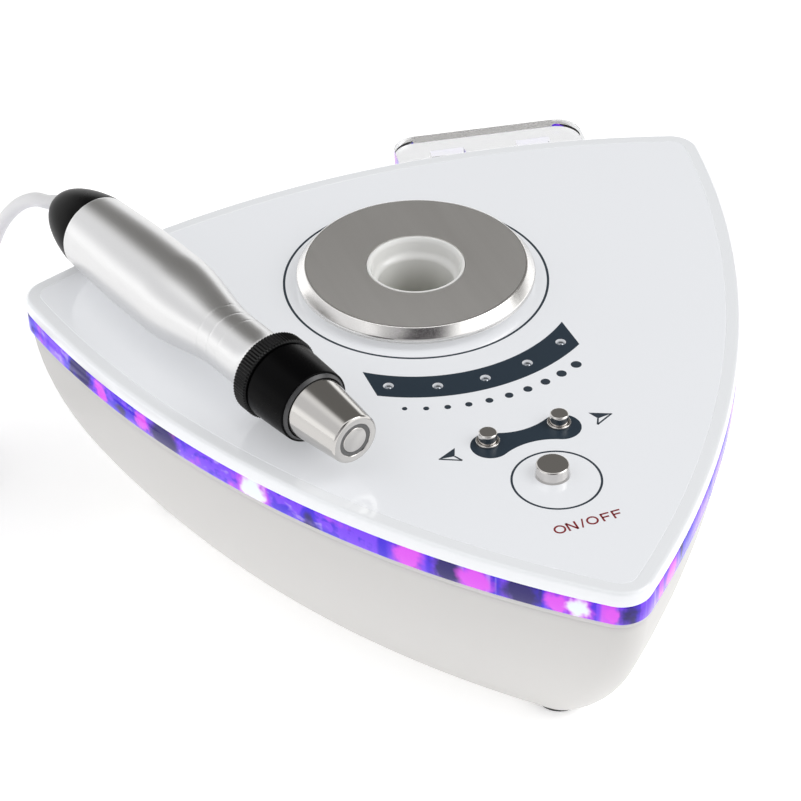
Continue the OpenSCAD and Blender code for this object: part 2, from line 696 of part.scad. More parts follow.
module rear_panel() color("silver") difference() {
    translate([-bay_w / 2 + panel_play, bay_face - panel_t, bay_z - bay_h / 2 + panel_play])
        cube([bay_w - 2 * panel_play, panel_t, bay_h - 2 * panel_play]);
    facing_back(-connector_x, bay_face - panel_t - 1, bay_z)
        cylinder(r = inlet_r + panel_fit, h = panel_t + 2);
    facing_back(connector_x, bay_face - panel_t - 1, bay_z)
        cylinder(r = socket_body_r + panel_fit, h = panel_t + 2);
    for (x = [-panel_screw_x, panel_screw_x]) facing_back(x, bay_face - panel_t - 1, bay_z)
        cylinder(r = panel_screw_r + screw_play, h = panel_t + 2);
}
module panel_screws() color("silver") for (x = [-panel_screw_x, panel_screw_x])
    facing_back(x, bay_face, bay_z) {
        slab(panel_screw_end - panel_t - bay_rim, eps) circle(panel_screw_r - bite);
        cylinder(r = panel_head_r, h = panel_head_h);
    }
module power_inlet() color("black") facing_back(-connector_x, bay_face, bay_z) {
    difference() {
        union() {
            slab(-inlet_back, 1) circle(inlet_r);
            cylinder(r = inlet_r + inlet_flange[0], h = inlet_flange[1]);
        }
        slab(-inlet_depth, inlet_depth) circle(inlet_bore_r);
    }
    slab(-inlet_depth - eps, 0.5) circle(inlet_pin_r);
}
module handpiece_socket() color("silver") facing_back(connector_x, bay_face, bay_z) difference() {
    union() {
        slab(-socket_depth - socket_floor, 1) circle(socket_body_r);
        cylinder(r = socket_body_r + socket_flange[0], h = socket_flange[1]);
    }
    translate([0, 0, socket_flange[1] - socket_depth]) cylinder(r = socket_r, h = socket_depth + 1);
}
module socket_nut() color("silver") facing_back(connector_x, bay_face - panel_t - nut_t, bay_z) difference() {
    cylinder(r = socket_body_r + nut_over, h = nut_t, $fn = 6);
    translate([0, 0, -1]) cylinder(r = socket_body_r + panel_fit, h = nut_t + 2);
}

// ---- handpiece ----
belly_power = 1;      // how full the handle is behind its thickest place
fall_power = 2.4;     // how late it falls off in front of it
belly = [for (s = [0:4:crown_s])
    [seam_r + (belly_r - seam_r) * pow(sin(90 * s / crown_s), belly_power), s]];
fall = [for (s = [crown_s + 4:5:shoulder_s - 1])
    [belly_r - (belly_r - shoulder_r) * pow((s - crown_s) / (shoulder_s - crown_s), fall_power), s]];
neck = [for (i = [0:6]) [waist_r + (shoulder_r - waist_r) * pow(1 - i / 6, 2),
    shoulder_s + (waist_s - shoulder_s) * i / 6]];
module handle_shell() color("lightgray") along_wand() rotate_extrude() polygon(concat(belly, fall, neck,
    [[waist_r, shell_l - 4], [waist_r + 0.4, collar_s], [waist_r + 0.4, shell_l], [nose_bore, shell_l],
     [nose_bore, shoulder_s + 12], [shell_bore - 0.5, shoulder_s - 2], [shell_bore, 8], [shell_bore, 0]]));
module tail_cap() color("#1a1a1a") along_wand() rotate_extrude() {
    n = 10;
    end = -cap_end_s / dome_l;
    polygon(concat([for (i = [n:-1:0]) let (t = end * (1 - pow(1 - i / n, 2)))
            [seam_r * pow(1 - pow(t, cap_point), cap_full), -dome_l * t]],
        [[shell_bore - 0.05, 0], [shell_bore - 0.05, 6], [2.1, 6], [2.1, cap_end_s]]));
}
nose_end = core_s - 0.35; // face of the nose, short of the head
pin_end = core_s - 0.15;
module handle_nose() color("#222222") along_wand() difference() {
    union() {
        slab(shell_l - nose_l, shell_l + bite) circle(nose_bore - bite);
        slab(shell_l, nose_end) circle(thread_r);
    }
    for (x = [-pin_x, pin_x]) translate([x, 0, shell_l - pin_l]) cylinder(r = pin_r + bite, h = nose_l);
}
module contact_pins() color("gold") along_wand() for (x = [-pin_x, pin_x])
    translate([x, 0, shell_l - pin_l]) cylinder(r = pin_r, h = pin_end - shell_l + pin_l);
module handle_wires() color("firebrick") along_wand() for (x = [-wire_x, wire_x])
    translate([x, 0, cap_end_s + bite]) cylinder(r = wire_r, h = shell_l - nose_l - cap_end_s - bite);
module coupling_ring() color("#141414") along_wand(ring_s) rotate_extrude() {
    pocket = core_s - ring_s - 0.1;
    lip = ring_l - ring_lip;
    polygon([[thread_r + thread_play, 0], [ring_r - 0.5, 0], [ring_r, 0.5], [ring_r, ring_l - 0.5],
        [ring_r - 0.5, ring_l], [core_barrel_r + 0.1, ring_l], [core_barrel_r + 0.1, lip],
        [core_flange_r + 0.1, lip], [core_flange_r + 0.1, pocket], [thread_r + thread_play, pocket]]);
}
module head_core() color("#222222") along_wand() difference() {
    union() {
        translate([0, 0, core_s]) cylinder(r = core_flange_r, h = core_flange_l);
        translate([0, 0, core_s]) cylinder(r = core_barrel_r, h = core_front - core_s);
    }
    translate([0, 0, core_front - electrode_plug_l])
        cylinder(r = electrode_plug_r + 0.05, h = electrode_plug_l + 1);
    translate([0, 0, core_s + 4]) cylinder(r = 6, h = core_front - core_s);
}
module head_sleeve() color("#101010") along_wand(sleeve_s) rotate_extrude() {
    l = core_front - sleeve_s + 0.6;
    polygon([[core_barrel_r + 0.05, 0], [sleeve_back_r - 0.4, 0], [sleeve_back_r, 0.5],
        [sleeve_front_r, l - 0.3], [sleeve_front_r - 0.3, l], [core_barrel_r + 0.05, l]]);
}
module outer_electrode() color("silver") along_wand() rotate_extrude() {
    base = core_front;
    bore = insulator_r + 0.05;
    polygon(concat([[bore, base - electrode_plug_l], [electrode_plug_r, base - electrode_plug_l],
        [electrode_plug_r, base], [cone_base_r, base]],
        [for (a = [0:18:90]) [tip_r - cone_edge * (1 - cos(a)), tip_s - cone_edge * (1 - sin(a))]],
        [[bore, tip_s]]));
}
module insulator() color("#202020") along_wand(tip_s - 24) tube(insulator_r, core_r + 0.05, 23.75);
module centre_electrode() color("silver") along_wand(tip_s - 28) {
    cylinder(r = core_r, h = 28 - 0.2);
    translate([0, 0, 27.8]) cylinder(r1 = core_r, r2 = core_r - 0.3, h = 0.3);
}

// ---- lead ----
// A ring of n points of radius r about c, across the way t
function ring(c, t, r, n) =
    let (side = unit(cross(t, [0.3, 0.5, 0.81])), up = cross(unit(t), side))
    [for (i = [0:n - 1]) c + r * (cos(360 * i / n) * side + sin(360 * i / n) * up)];
// A tube along the route, whose two end faces lie across the ways first and last
module sweep(route, r, first, last, n = 10) {
    m = len(route);
    ways = concat([first], [for (i = [1:m - 2]) route[i + 1] - route[i - 1]], [last]);
    points = [for (i = [0:m - 1]) each ring(route[i], ways[i], r, n)];
    faces = concat([[for (i = [0:n - 1]) n - 1 - i]],
        [for (k = [0:m - 2], i = [0:n - 1]) let (j = (i + 1) % n)
            [k * n + i, k * n + j, k * n + n + j, k * n + n + i]],
        [[for (i = [0:n - 1]) (m - 1) * n + i]]);
    polyhedron(points, faces, convexity = 6);
}
module handpiece_lead() color("gainsboro") sweep(lead_route, lead_d / 2, -wand_dir, [-1, 0, 0]);
module plug_tail() color("gainsboro") sweep(tail_route, lead_d / 2, [0, -1, 0], [0, -1, 0]);

module lead_coil() color("gainsboro") translate([coil_at[0], coil_at[1], coil_low]) rotate_extrude()
    translate([coil_mean_r - lead_d * coil_wide / 2, 0]) square([lead_d * coil_wide, lead_d * coil_high]);
tie_turn = 292;       // where the tie sits on the coil
tie_angle = 24;
module lead_tie() color("#222222")
    translate([coil_at[0], coil_at[1], 0]) rotate(tie_turn) rotate_extrude(angle = tie_angle) {
    w = lead_d * coil_wide + 2 * tie_play;
    h = lead_d * coil_high + 2 * tie_play;
    translate([coil_mean_r - w / 2, coil_low - tie_play]) difference() {
        translate([-tie_t, -tie_t]) square([w + 2 * tie_t, h + 2 * tie_t]);
        square([w, h]);
    }
}
plug_y = tail_route[4][1];
boot_l = 12;
plug_body_l = 14;
plug_body_r = 7.2;
plug_core_r = 6;
plug_collar_l = 11;
module facing_front(y) translate([tail_route[4][0], y, plug_z]) rotate([90, 0, 0]) children();
module lead_plug() color("silver") facing_front(plug_y) {
    cylinder(r1 = lead_d / 2 + 0.7, r2 = 5.4, h = boot_l);
    translate([0, 0, boot_l]) cylinder(r = plug_body_r, h = plug_body_l);
    translate([0, 0, boot_l]) cylinder(r = plug_core_r, h = plug_body_l + plug_collar_l - 1);
    translate([0, 0, boot_l]) cylinder(r = plug_nose_r, h = plug_body_l + plug_collar_l + 3);
}
module plug_collar() color("silver") facing_front(plug_y - boot_l - plug_body_l - 0.2)
    tube(plug_collar_r, plug_core_r + fit, plug_collar_l);

base_housing();
rubber_feet();
housing_screws();
top_frame();
light_ring();
led_strip();
top_plate();
disc_spacer();
rest_disc();
rest_cup();
cup_nut();
level_lamps();
control_board();
tact_switches();
board_screws();
button_bezels();
power_guide();
power_button();
minus_button();
plus_button();
holder_bracket();
bracket_screws();
power_board();
board_transformer();
heat_sink();
capacitors();
ribbon_cable();
rear_panel();
panel_screws();
power_inlet();
handpiece_socket();
socket_nut();
handle_shell();
tail_cap();
handle_nose();
contact_pins();
handle_wires();
coupling_ring();
head_core();
head_sleeve();
outer_electrode();
insulator();
centre_electrode();
handpiece_lead();
lead_coil();
lead_tie();
plug_tail();
lead_plug();
plug_collar();
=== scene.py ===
"""Outer pieces, finishes and stage of a facial toning device: a three-cornered console with a lit
band, a rest disc and three buttons, and a metal handpiece on a coiled lead."""

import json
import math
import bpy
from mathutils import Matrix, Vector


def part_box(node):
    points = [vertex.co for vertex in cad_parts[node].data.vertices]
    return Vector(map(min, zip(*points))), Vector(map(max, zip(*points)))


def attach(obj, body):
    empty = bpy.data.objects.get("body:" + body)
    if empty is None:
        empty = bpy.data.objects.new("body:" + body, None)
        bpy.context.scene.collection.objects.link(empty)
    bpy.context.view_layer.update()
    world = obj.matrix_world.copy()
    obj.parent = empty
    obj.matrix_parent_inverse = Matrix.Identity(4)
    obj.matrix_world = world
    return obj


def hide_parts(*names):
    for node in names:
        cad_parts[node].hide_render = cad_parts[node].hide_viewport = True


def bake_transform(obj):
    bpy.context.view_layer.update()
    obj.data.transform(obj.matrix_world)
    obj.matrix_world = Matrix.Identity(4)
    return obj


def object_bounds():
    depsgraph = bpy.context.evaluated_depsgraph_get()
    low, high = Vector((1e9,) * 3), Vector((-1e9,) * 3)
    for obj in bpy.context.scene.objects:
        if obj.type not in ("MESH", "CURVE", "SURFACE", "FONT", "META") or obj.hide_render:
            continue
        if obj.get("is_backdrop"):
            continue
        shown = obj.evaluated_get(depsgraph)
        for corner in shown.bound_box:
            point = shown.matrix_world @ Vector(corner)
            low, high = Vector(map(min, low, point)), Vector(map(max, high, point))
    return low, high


bl_info = {
    "name": "Facial Toning Device",
    "version": (1, 0, 0),
    "blender": (4, 5, 0),
    "location": "View3D > Sidebar > Toning Device",
    "description": "Builds the outer pieces, finishes and stage of a facial toning device",
    "category": "Add Mesh",
}

import bmesh
import bpy
from bpy.props import FloatProperty, FloatVectorProperty, IntProperty, PointerProperty
from bpy.types import NodeSocket, Operator, Panel, PropertyGroup
from mathutils import Matrix, Vector

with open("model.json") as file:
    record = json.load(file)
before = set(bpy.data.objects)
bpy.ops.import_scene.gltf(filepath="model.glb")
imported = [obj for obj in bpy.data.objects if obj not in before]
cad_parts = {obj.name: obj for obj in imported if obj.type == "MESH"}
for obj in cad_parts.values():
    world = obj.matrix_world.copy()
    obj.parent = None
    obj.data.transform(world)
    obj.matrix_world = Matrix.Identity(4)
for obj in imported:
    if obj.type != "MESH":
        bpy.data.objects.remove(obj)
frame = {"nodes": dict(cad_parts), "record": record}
CAD_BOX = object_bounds()
MM = 0.001


# ---- measures, in millimetres and degrees ----

def top_of(node):
    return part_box(node)[1].z / MM


def foot_of(node):
    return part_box(node)[0].z / MM


# the console's heights, its corners before they are rounded, and the radii of its edges
TUB_FOOT, TUB_TOP = 3, 70.6
RIM = foot_of("light_ring")
PLATE_LOW = foot_of("top_plate")
TOP = top_of("top_plate")
FRONT, RIGHT, LEFT = Vector((0, -132.5)), Vector((124.7, 84.5)), Vector((-124.7, 84.5))
SIDE_R, BACK_R, CORNER_R, LEAST_CORNER_R = 356, 325, 10, 3
# how far the tub's flank lies inside the plate's edge at its top, how much more at its foot, and
# the straight share of that taper
FLANK_INSET, FLANK_TAPER, FLANK_STRAIGHT = 1, 27.6, 0.18
# the connector bay's heights and half width, and the place of its panel
BAY_LOW, BAY_HIGH, BAY_HALF, BAY_PANEL_Y = 20, 44, 32, 86
GAP_HALF = 34.8  # half the gap that the lit band leaves for the bracket
SCREW_X, SCREW_BEFORE_DISC, SCREW_INSET = 44, 22.5, 55
WELL_R, WELL_END_R, WELL_TOP = 4, 3.9, 52
DISC_Y, DISC_TOP, CUP_BRIM, CUP_HOLE_R = 39.5, 92.1, 91.2, 15
LAMP_R, LAMP_ARC, LAMP_PITCH = 1.6, 59, 15.2
# each button's place from the disc's middle, its radius and its hole's
BUTTONS = {"minus_button": (-12, -89, 2.95, 3.4), "plus_button": (12, -89, 2.95, 3.4),
           "power_button": (0, -110.7, 5.1, 5.6)}
LEVEL_BUTTONS = (BUTTONS["minus_button"], BUTTONS["plus_button"])
# printed marks: how deep they reach into the plate, and the row of ten growing dots
MARK_SUNK = 0.01
DOTS, DOT_ARC, DOT_SPREAD, DOT_R, DOT_GROWTH = 10, 70.2, 24.8, 0.85, 0.1
# the handpiece's axis, from the seam of its end cap towards its tip, and its radii
WAND_AT = Vector((-95.44, 86.28, 99.7))
WAND_WAY = Vector((0.28117, -0.95966, 0))
SEAM_R, GRIP_R, WAIST_R = 13.2, 14.39, 10.15
GROOVES, GROOVE_HALF = (73, 78, 83), 0.3  # places and half width of the handle's fine lines
LEAD_SIDES = 16  # the flat sides of the lead's tube
PLUG_AT = Vector((-198, 92, 8))
COIL_AT, COIL_STEP = Vector((-168, 120, 0)), 15
LEAD_ROUTE = (
    (-101.657, 107.501, 99.7), (-102.9, 110.2, 99.35), (-105.03, 112.82, 98.3),
    (-107.27, 116.37, 97.7), (-109.3, 119.58, 96.2), (-111.5, 123.05, 93.6),
    (-113.53, 126.26, 90.3), (-115.99, 130.14, 85.2), (-118.34, 133.86, 78.9), (-120.5, 137.5, 71),
    (-122.8, 140.8, 62), (-125.3, 143.4, 52.5), (-128.3, 145.6, 43), (-131.8, 147.3, 33.8),
    (-136, 148.6, 25), (-141, 149.4, 17), (-146.6, 149.8, 10.6), (-152.2, 150, 6),
    (-158, 150, 3.5), (-163.5, 150, 2.9))
# angle round the coil, distance from its middle and height of the lead's line
COIL_PLACES = (
    (90, 30, 2.9), (370, 30, 2.9), (415, 25, 2.9), (690, 25, 2.9), (730, 25, 7.9), (1005, 25, 7.9),
    (1050, 30, 7.9), (1318, 30, 7.9), (1344, 28, 11.9), (1368, 25, 12.9), (1636, 25, 12.9),
    (1680, 31.4, 13.4), (1704, 32.4, 13.8), (1732, 30, 12.9), (1980, 30, 12.9))
TAIL_ROUTE = ((-198, 113, 12.5), (-198, 106, 11), (-198, 99, 8.9), (-198, 92, 8))
# places on the lit band, each with its size: dark gaps, pink lamps and white glares
BAND_GAPS = ((-115, 43, 7), (-101, 2, 9), (-42.5, -91, 7), (-26.5, -108, 8), (-2, -131, 6))
BAND_LAMPS = ((-112.3, 33, 4.5), (-105, 12, 4), (-51, -80.5, 7), (-36.5, -97.5, 7),
              (-18.5, -116, 5), (-6, -127.5, 3.5), (18, -116.5, 5))
BAND_GLARES = ((-83.4, -33, 6), (-13.9, -120.4, 4.5))
# nodes that keep their CAD shape and get softened edges; the bevel, and the reach of the weld
SOFTENED = ("holder_bracket", "top_frame", "rear_panel", "power_inlet", "handpiece_socket",
            "rubber_feet")
BEVEL, WELD = 0.3, 0.004


# ---- angles and lines ----

def eased(t):
    """From 0 to 1 with soft ends."""
    return t * t * (3 - 2 * t)


def quarter(steps):
    """The angles of a quarter turn, in radians."""
    return [math.radians(90 * k / steps) for k in range(steps + 1)]


def full_turn(steps):
    """The angles of a full turn, in radians, without its end."""
    return [2 * math.pi * k / steps for k in range(steps)]


def arc(centre, r, start, end, steps):
    """Points round a centre from one angle to another, in radians."""
    return [Vector(centre) + r * Vector((math.cos(a), math.sin(a)))
            for a in (start + (end - start) * i / steps for i in range(steps + 1))]


def circle(x, y, r, steps):
    return arc((x, y), r, 0, 2 * math.pi, steps)[:-1]


def oval(x, y, w, h):
    """An oval of that half width and half height."""
    return [Vector((x + w * math.cos(a), y + h * math.sin(a))) for a in full_turn(40)]


def bar(a, b, width):
    """The loop of a straight line of that width from a to b."""
    a, b = Vector(a), Vector(b)
    way = (b - a).normalized()
    side = Vector((-way.y, way.x)) * width / 2
    return [a + side, b + side, b - side, a - side]


def ahead(r, a):
    """The point at that distance from the disc's middle and angle from straight ahead of it."""
    return r * math.sin(a), -r * math.cos(a)


LAMPS_AT = [ahead(LAMP_ARC, math.radians(LAMP_PITCH * k)) for k in (-2, -1, 0, 1, 2)]


# ---- the console's outline ----

def bulge(p, q, r):
    """The circle of radius r through p and q that bulges to the right of the way from p to q."""
    way = q - p
    high = math.sqrt(r * r - way.length_squared / 4)
    return (p + q) / 2 + high * Vector((-way.y, way.x)).normalized(), r


EDGES = (bulge(FRONT, RIGHT, SIDE_R), bulge(RIGHT, LEFT, BACK_R), bulge(LEFT, FRONT, SIDE_R))


def corner(k, inset):
    """The point between edge k and the next one at that distance from both."""
    (a, ra), (b, rb) = EDGES[k], EDGES[(k + 1) % 3]
    ra, rb, way = ra - inset, rb - inset, b - a
    along = (ra * ra - rb * rb + way.length_squared) / (2 * way.length)
    across = math.sqrt(ra * ra - along * along)
    way.normalize()
    return a + along * way + across * Vector((-way.y, way.x))


CORNER_STEPS, SIDE_STEPS, BACK_STEPS, BAY_STEPS = 14, 60, 13, 16
# places of the bay's and the bracket gap's edges in each outline
GAP_START = CORNER_STEPS + BACK_STEPS
BAY_START = GAP_START + 1
BAY_END = BAY_START + BAY_STEPS
GAP_END = BAY_END + 1


def swing(first, last):
    """The angles of two directions, the second one ahead of the first."""
    start, end = (math.atan2(way.y, way.x) for way in (first, last))
    return start, end + 2 * math.pi if end < start else end


def outline(inset, radius=CORNER_R):
    """The console's outline drawn in by inset. Each outline has the same number of points, and the
    same ones lie at the edges of the connector bay and of the bracket's gap."""
    middles = [corner(k, inset + radius) for k in range(3)]
    points = []
    for k, middle in enumerate(middles):
        (before, _), (after, r) = EDGES[k], EDGES[(k + 1) % 3]
        r -= inset
        first, last = middle - after, middles[(k + 1) % 3] - after
        points += arc(middle, radius, *swing(middle - before, first), CORNER_STEPS)
        if k == 0:
            x = first.x * r / first.length
            xs = [x + (GAP_HALF - x) * i / BACK_STEPS for i in range(1, BACK_STEPS + 1)]
            inner = [BAY_HALF - 2 * BAY_HALF * i / BAY_STEPS for i in range(BAY_STEPS + 1)]
            xs += inner + [-x for x in reversed(xs)]
            points += [after + Vector((x, math.sqrt(r * r - x * x))) for x in xs]
        else:
            points += arc(after, r, *swing(first, last), SIDE_STEPS)[1:-1]
    return points


def plate_outline(inset):
    """The outline drawn in by inset, with its corners the smaller the further in it lies."""
    return outline(inset, max(CORNER_R - inset, LEAST_CORNER_R))


def tuck(z):
    """How far the tub's flank lies inside the plate's edge at that height."""
    u = (TUB_TOP - z) / (TUB_TOP - TUB_FOOT)
    return FLANK_INSET + FLANK_TAPER * (FLANK_STRAIGHT * u + (1 - FLANK_STRAIGHT) * u * u)


# ---- meshes ----

def add(name, data):
    """A new object in the scene."""
    obj = bpy.data.objects.new(name, data)
    bpy.context.scene.collection.objects.link(obj)
    return obj


class Shell:
    """A mesh in the making. Its points are in millimetres and stand in place, a matrix."""

    POLE_R = 1e-4  # a ring smaller than this is one point

    def __init__(self, place=None):
        self.mesh = bmesh.new()
        self.place = place or Matrix.Identity(4)

    def row(self, points, z=None):
        """One vertex for each point, all at height z where it is given."""
        if z is not None:
            points = [(p[0], p[1], z) for p in points]
        return [self.mesh.verts.new(self.place @ Vector(p) * MM) for p in points]

    def skin(self, rows, slot=0, closed=True, skip=()):
        """Faces between rows that follow each other. A row of one point is a pole."""
        for low, high in zip(rows, rows[1:]):
            n = max(len(low), len(high))
            for i in range(n if closed else n - 1):
                if i in skip:
                    continue
                j = (i + 1) % n
                if len(low) == 1:
                    corners = (low[0], high[j], high[i])
                elif len(high) == 1:
                    corners = (low[i], low[j], high[0])
                else:
                    corners = (low[i], low[j], high[j], high[i])
                self.mesh.faces.new(corners).material_index = slot

    def fill(self, loops, slot=0):
        """A flat face inside the first loop, with the others as its holes."""
        edges = []
        for loop in loops:
            for a, b in zip(loop, loop[1:] + loop[:1]):
                edges.append(self.mesh.edges.get((a, b)) or self.mesh.edges.new((a, b)))
        made = bmesh.ops.triangle_fill(self.mesh, use_beauty=True, edges=edges)
        for part in made["geom"]:
            if isinstance(part, bmesh.types.BMFace):
                part.material_index = slot

    def turn(self, profile, segments=96, slot=0, ribs=(0, 0, 0, 0), closed=False):
        """Turns points (radius, along) round the shell's z axis. ribs = (count, depth, from, to)
        cuts fine grooves along the axis between two places. A profile point may carry a slot,
        which the faces before it take."""
        count, depth, first, last = ribs
        rows = []
        for r, along, *_ in profile:
            if r < self.POLE_R:
                rows.append(self.row([(0, 0, along)]))
                continue
            deep = depth if first <= along <= last else 0
            around = []
            for a in full_turn(segments):
                reach = r - deep * (0.5 - 0.5 * math.cos(count * a))
                around.append((reach * math.cos(a), reach * math.sin(a), along))
            rows.append(self.row(around))
        for k in range(1, len(rows)):
            self.skin(rows[k - 1:k + 1], profile[k][2] if len(profile[k]) > 2 else slot)
        if closed:
            self.skin([rows[-1], rows[0]], slot)

    def slab(self, loops, low, high, slot=0):
        """A plate of that outline between two heights, with the later loops as holes."""
        tops = [self.row(loop, high) for loop in loops]
        feet = [self.row(loop, low) for loop in loops]
        for top, foot in zip(tops, feet):
            self.skin([foot, top], slot)
        self.fill(tops, slot)
        self.fill(feet, slot)

    def piece(self, name, body, finishes, nodes=(), sharp=38):
        """Ends the mesh as a piece that moves with body and stands for the CAD nodes."""
        bmesh.ops.recalc_face_normals(self.mesh, faces=self.mesh.faces)
        data = bpy.data.meshes.new(name)
        self.mesh.to_mesh(data)
        self.mesh.free()
        data.shade_smooth()
        data.set_sharp_from_angle(angle=math.radians(sharp))
        for finish in finishes:
            data.materials.append(look(finish))
        obj = add(name, data)
        if body:
            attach(obj, body)
        if nodes:
            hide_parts(*nodes)
        return obj


def soften(profile, radius, steps=4, closed=False):
    """Rounds the corners of a profile that turn by more than 15 degrees."""
    out = []
    n = len(profile)
    for i, point in enumerate(profile):
        if not closed and i in (0, n - 1):
            out.append(point)
            continue
        here = Vector(point[:2])
        back = Vector(profile[i - 1][:2]) - here
        on = Vector(profile[(i + 1) % n][:2]) - here
        if back.angle(on) > math.radians(165):
            out.append(point)
            continue
        cut = min(radius, 0.45 * back.length, 0.45 * on.length)
        a, b = here + back.normalized() * cut, here + on.normalized() * cut
        for k in range(steps + 1):
            t = k / steps
            p = a * (1 - t) ** 2 + 2 * here * t * (1 - t) + b * t * t
            out.append((p.x, p.y, *point[2:]))
    return out


def axis_place(at, way):
    """A matrix whose z axis starts at a point and goes along way, which isn't upright."""
    z = Vector(way).normalized()
    x = Vector((0, 0, 1)).cross(z).normalized()
    place = Matrix((x, z.cross(x), z)).transposed().to_4x4()
    place.translation = Vector(at)
    return place


def at_disc(x=0, y=0):
    """A place given from the disc's middle."""
    return Matrix.Translation((x, DISC_Y + y, 0))


WAND = axis_place(WAND_AT, WAND_WAY)


# ---- finishes ----

class Value:
    """A number in a node tree. Sums, products and the like of it become Math nodes."""

    def __init__(self, nodes, socket):
        self.nodes, self.socket = nodes, socket

    def math(self, operation, *terms):
        node = self.nodes.node("ShaderNodeMath", {"operation": operation}, dict(enumerate(terms)))
        return Value(self.nodes, node.outputs[0])

    def __add__(self, other):
        return self.math("ADD", self, other)

    def __radd__(self, other):
        return self.math("ADD", other, self)

    def __sub__(self, other):
        return self.math("SUBTRACT", self, other)

    def __rsub__(self, other):
        return self.math("SUBTRACT", other, self)

    def __mul__(self, other):
        return self.math("MULTIPLY", self, other)

    def __rmul__(self, other):
        return self.math("MULTIPLY", other, self)

    def __neg__(self):
        return self.math("MULTIPLY", self, -1)

    def __abs__(self):
        return self.math("ABSOLUTE", self)

    def above(self, low, high):
        """Smoothly from 0 at low to 1 at high."""
        node = self.nodes.node("ShaderNodeMapRange", {"interpolation_type": "SMOOTHSTEP"},
                               {"Value": self, "From Min": low, "From Max": high})
        return Value(self.nodes, node.outputs["Result"])


class Nodes:
    """A node tree in the making."""

    def __init__(self, tree):
        self.tree = tree

    def put(self, target, value):
        """Links or writes a value to a socket. A colour may come without its alpha."""
        if isinstance(value, (Value, NodeSocket)):
            self.tree.links.new(getattr(value, "socket", value), target)
        elif target.type == "RGBA" and len(value) == 3:
            target.default_value = (*value, 1)
        else:
            target.default_value = value

    def node(self, kind, settings=None, sockets=None):
        """One node: its type, its settings, then what goes into its sockets."""
        node = self.tree.nodes.new(kind)
        for key, value in (settings or {}).items():
            setattr(node, key, value)
        for key, value in (sockets or {}).items():
            self.put(node.inputs[key], value)
        return node

    def mix(self, factor, a, b):
        """From colour a at factor 0 to colour b at 1."""
        node = self.node("ShaderNodeMix", {"data_type": "RGBA"}, {0: factor, 6: a, 7: b})
        return node.outputs[2]

    def part(self, vector, axis):
        """A vector's X, Y or Z."""
        return Value(self, self.node("ShaderNodeSeparateXYZ", None, {0: vector}).outputs[axis])

    def measure(self, operation, a, b):
        """A number made from two vectors, such as their distance."""
        node = self.node("ShaderNodeVectorMath", {"operation": operation}, {0: a, 1: b})
        return Value(self, node.outputs["Value"])


class Finish(Nodes):
    """A material and the nodes that vary it."""

    def __init__(self, name, **settings):
        self.material = bpy.data.materials.new(name)
        self.material.use_nodes = True
        super().__init__(self.material.node_tree)
        self.shader = self.tree.nodes["Principled BSDF"]
        for key, value in settings.items():
            self.set(key.replace("_", " ").title().replace("Ior", "IOR"), value)

    def set(self, socket, value):
        self.put(self.shader.inputs[socket], value)
        return self

    def place(self, scale=(1, 1, 1)):
        """The point on the piece in the device's frame, in metres, with each axis scaled."""
        here = self.node("ShaderNodeTexCoord").outputs["Object"]
        return self.node("ShaderNodeVectorMath", {"operation": "MULTIPLY"},
                         {0: here, 1: scale}).outputs[0]

    def noise(self, scale, stretch=(1, 1, 1), detail=2.0, rough=0.5):
        node = self.node("ShaderNodeTexNoise", None, {"Vector": self.place(stretch),
                         "Scale": scale, "Detail": detail, "Roughness": rough})
        return Value(self, node.outputs[0])

    def polish(self, roughness, spread, grain):
        """A roughness that spreads to both sides of its middle with grain, a noise."""
        return self.set("Roughness", roughness + spread * (grain - 0.5))

    def bump(self, height, depth, strength):
        """Small relief from a height between 0 and 1; depth in millimetres."""
        node = self.node("ShaderNodeBump", None,
                         {"Height": height, "Distance": depth * MM, "Strength": strength})
        return self.set("Normal", node.outputs[0])


LOOKS = {}


def look(name):
    """The material of that name, made when it is first asked for."""
    if name not in LOOKS:
        LOOKS[name] = MAKERS[name](bpy.context.scene.toning_colours)
    return LOOKS[name]


def darker(colour, share):
    return [x * share for x in colour]


def plain(name, colour, roughness, **more):
    """Makes a finish of one colour whose gloss varies a little over the surface."""
    def make(colours):
        base = getattr(colours, colour) if isinstance(colour, str) else colour
        f = Finish(name, base_color=base, **more)
        return f.polish(roughness, 0.04, f.noise(180)).material
    return make


def metal(name, colour, roughness, **more):
    return plain(name, colour, roughness, metallic=1.0, **more)


def housing_look(c):
    """White moulded plastic with a fine skin."""
    f = Finish("housing", specular_ior_level=0.45, base_color=c.housing)
    f.polish(0.4, 0.06, f.noise(90))
    return f.bump(f.noise(900, detail=1), 0.012, 0.35).material


# colour of the painted light on the plate and its margin: a faint glow that lifts their shade,
# though no lamp lights them
PLATE_PAINTED_LIGHT = (0.97, 0.98, 1.0)


def plate_look(c):
    """The white print under the clear plate, with painted light: a faint glow that lifts its shade.
    """
    f = Finish("plate", coat_weight=0.5, coat_roughness=0.03, emission_strength=0.37,
               emission_color=PLATE_PAINTED_LIGHT)
    f.set("Base Color", f.mix(f.noise(14), c.plate, darker(c.plate, 0.985)))
    return f.set("Roughness", 0.16 + 0.03 * f.noise(60)).material


def margin_look(c):
    """The plate's clear margin, with the same painted light as the plate: a faint glow that lifts
    its shade.
    """
    f = Finish("plate_margin", coat_weight=0.6, coat_roughness=0.03, emission_strength=0.33,
               emission_color=PLATE_PAINTED_LIGHT, base_color=c.margin)
    return f.set("Roughness", 0.12 + 0.03 * f.noise(60)).material


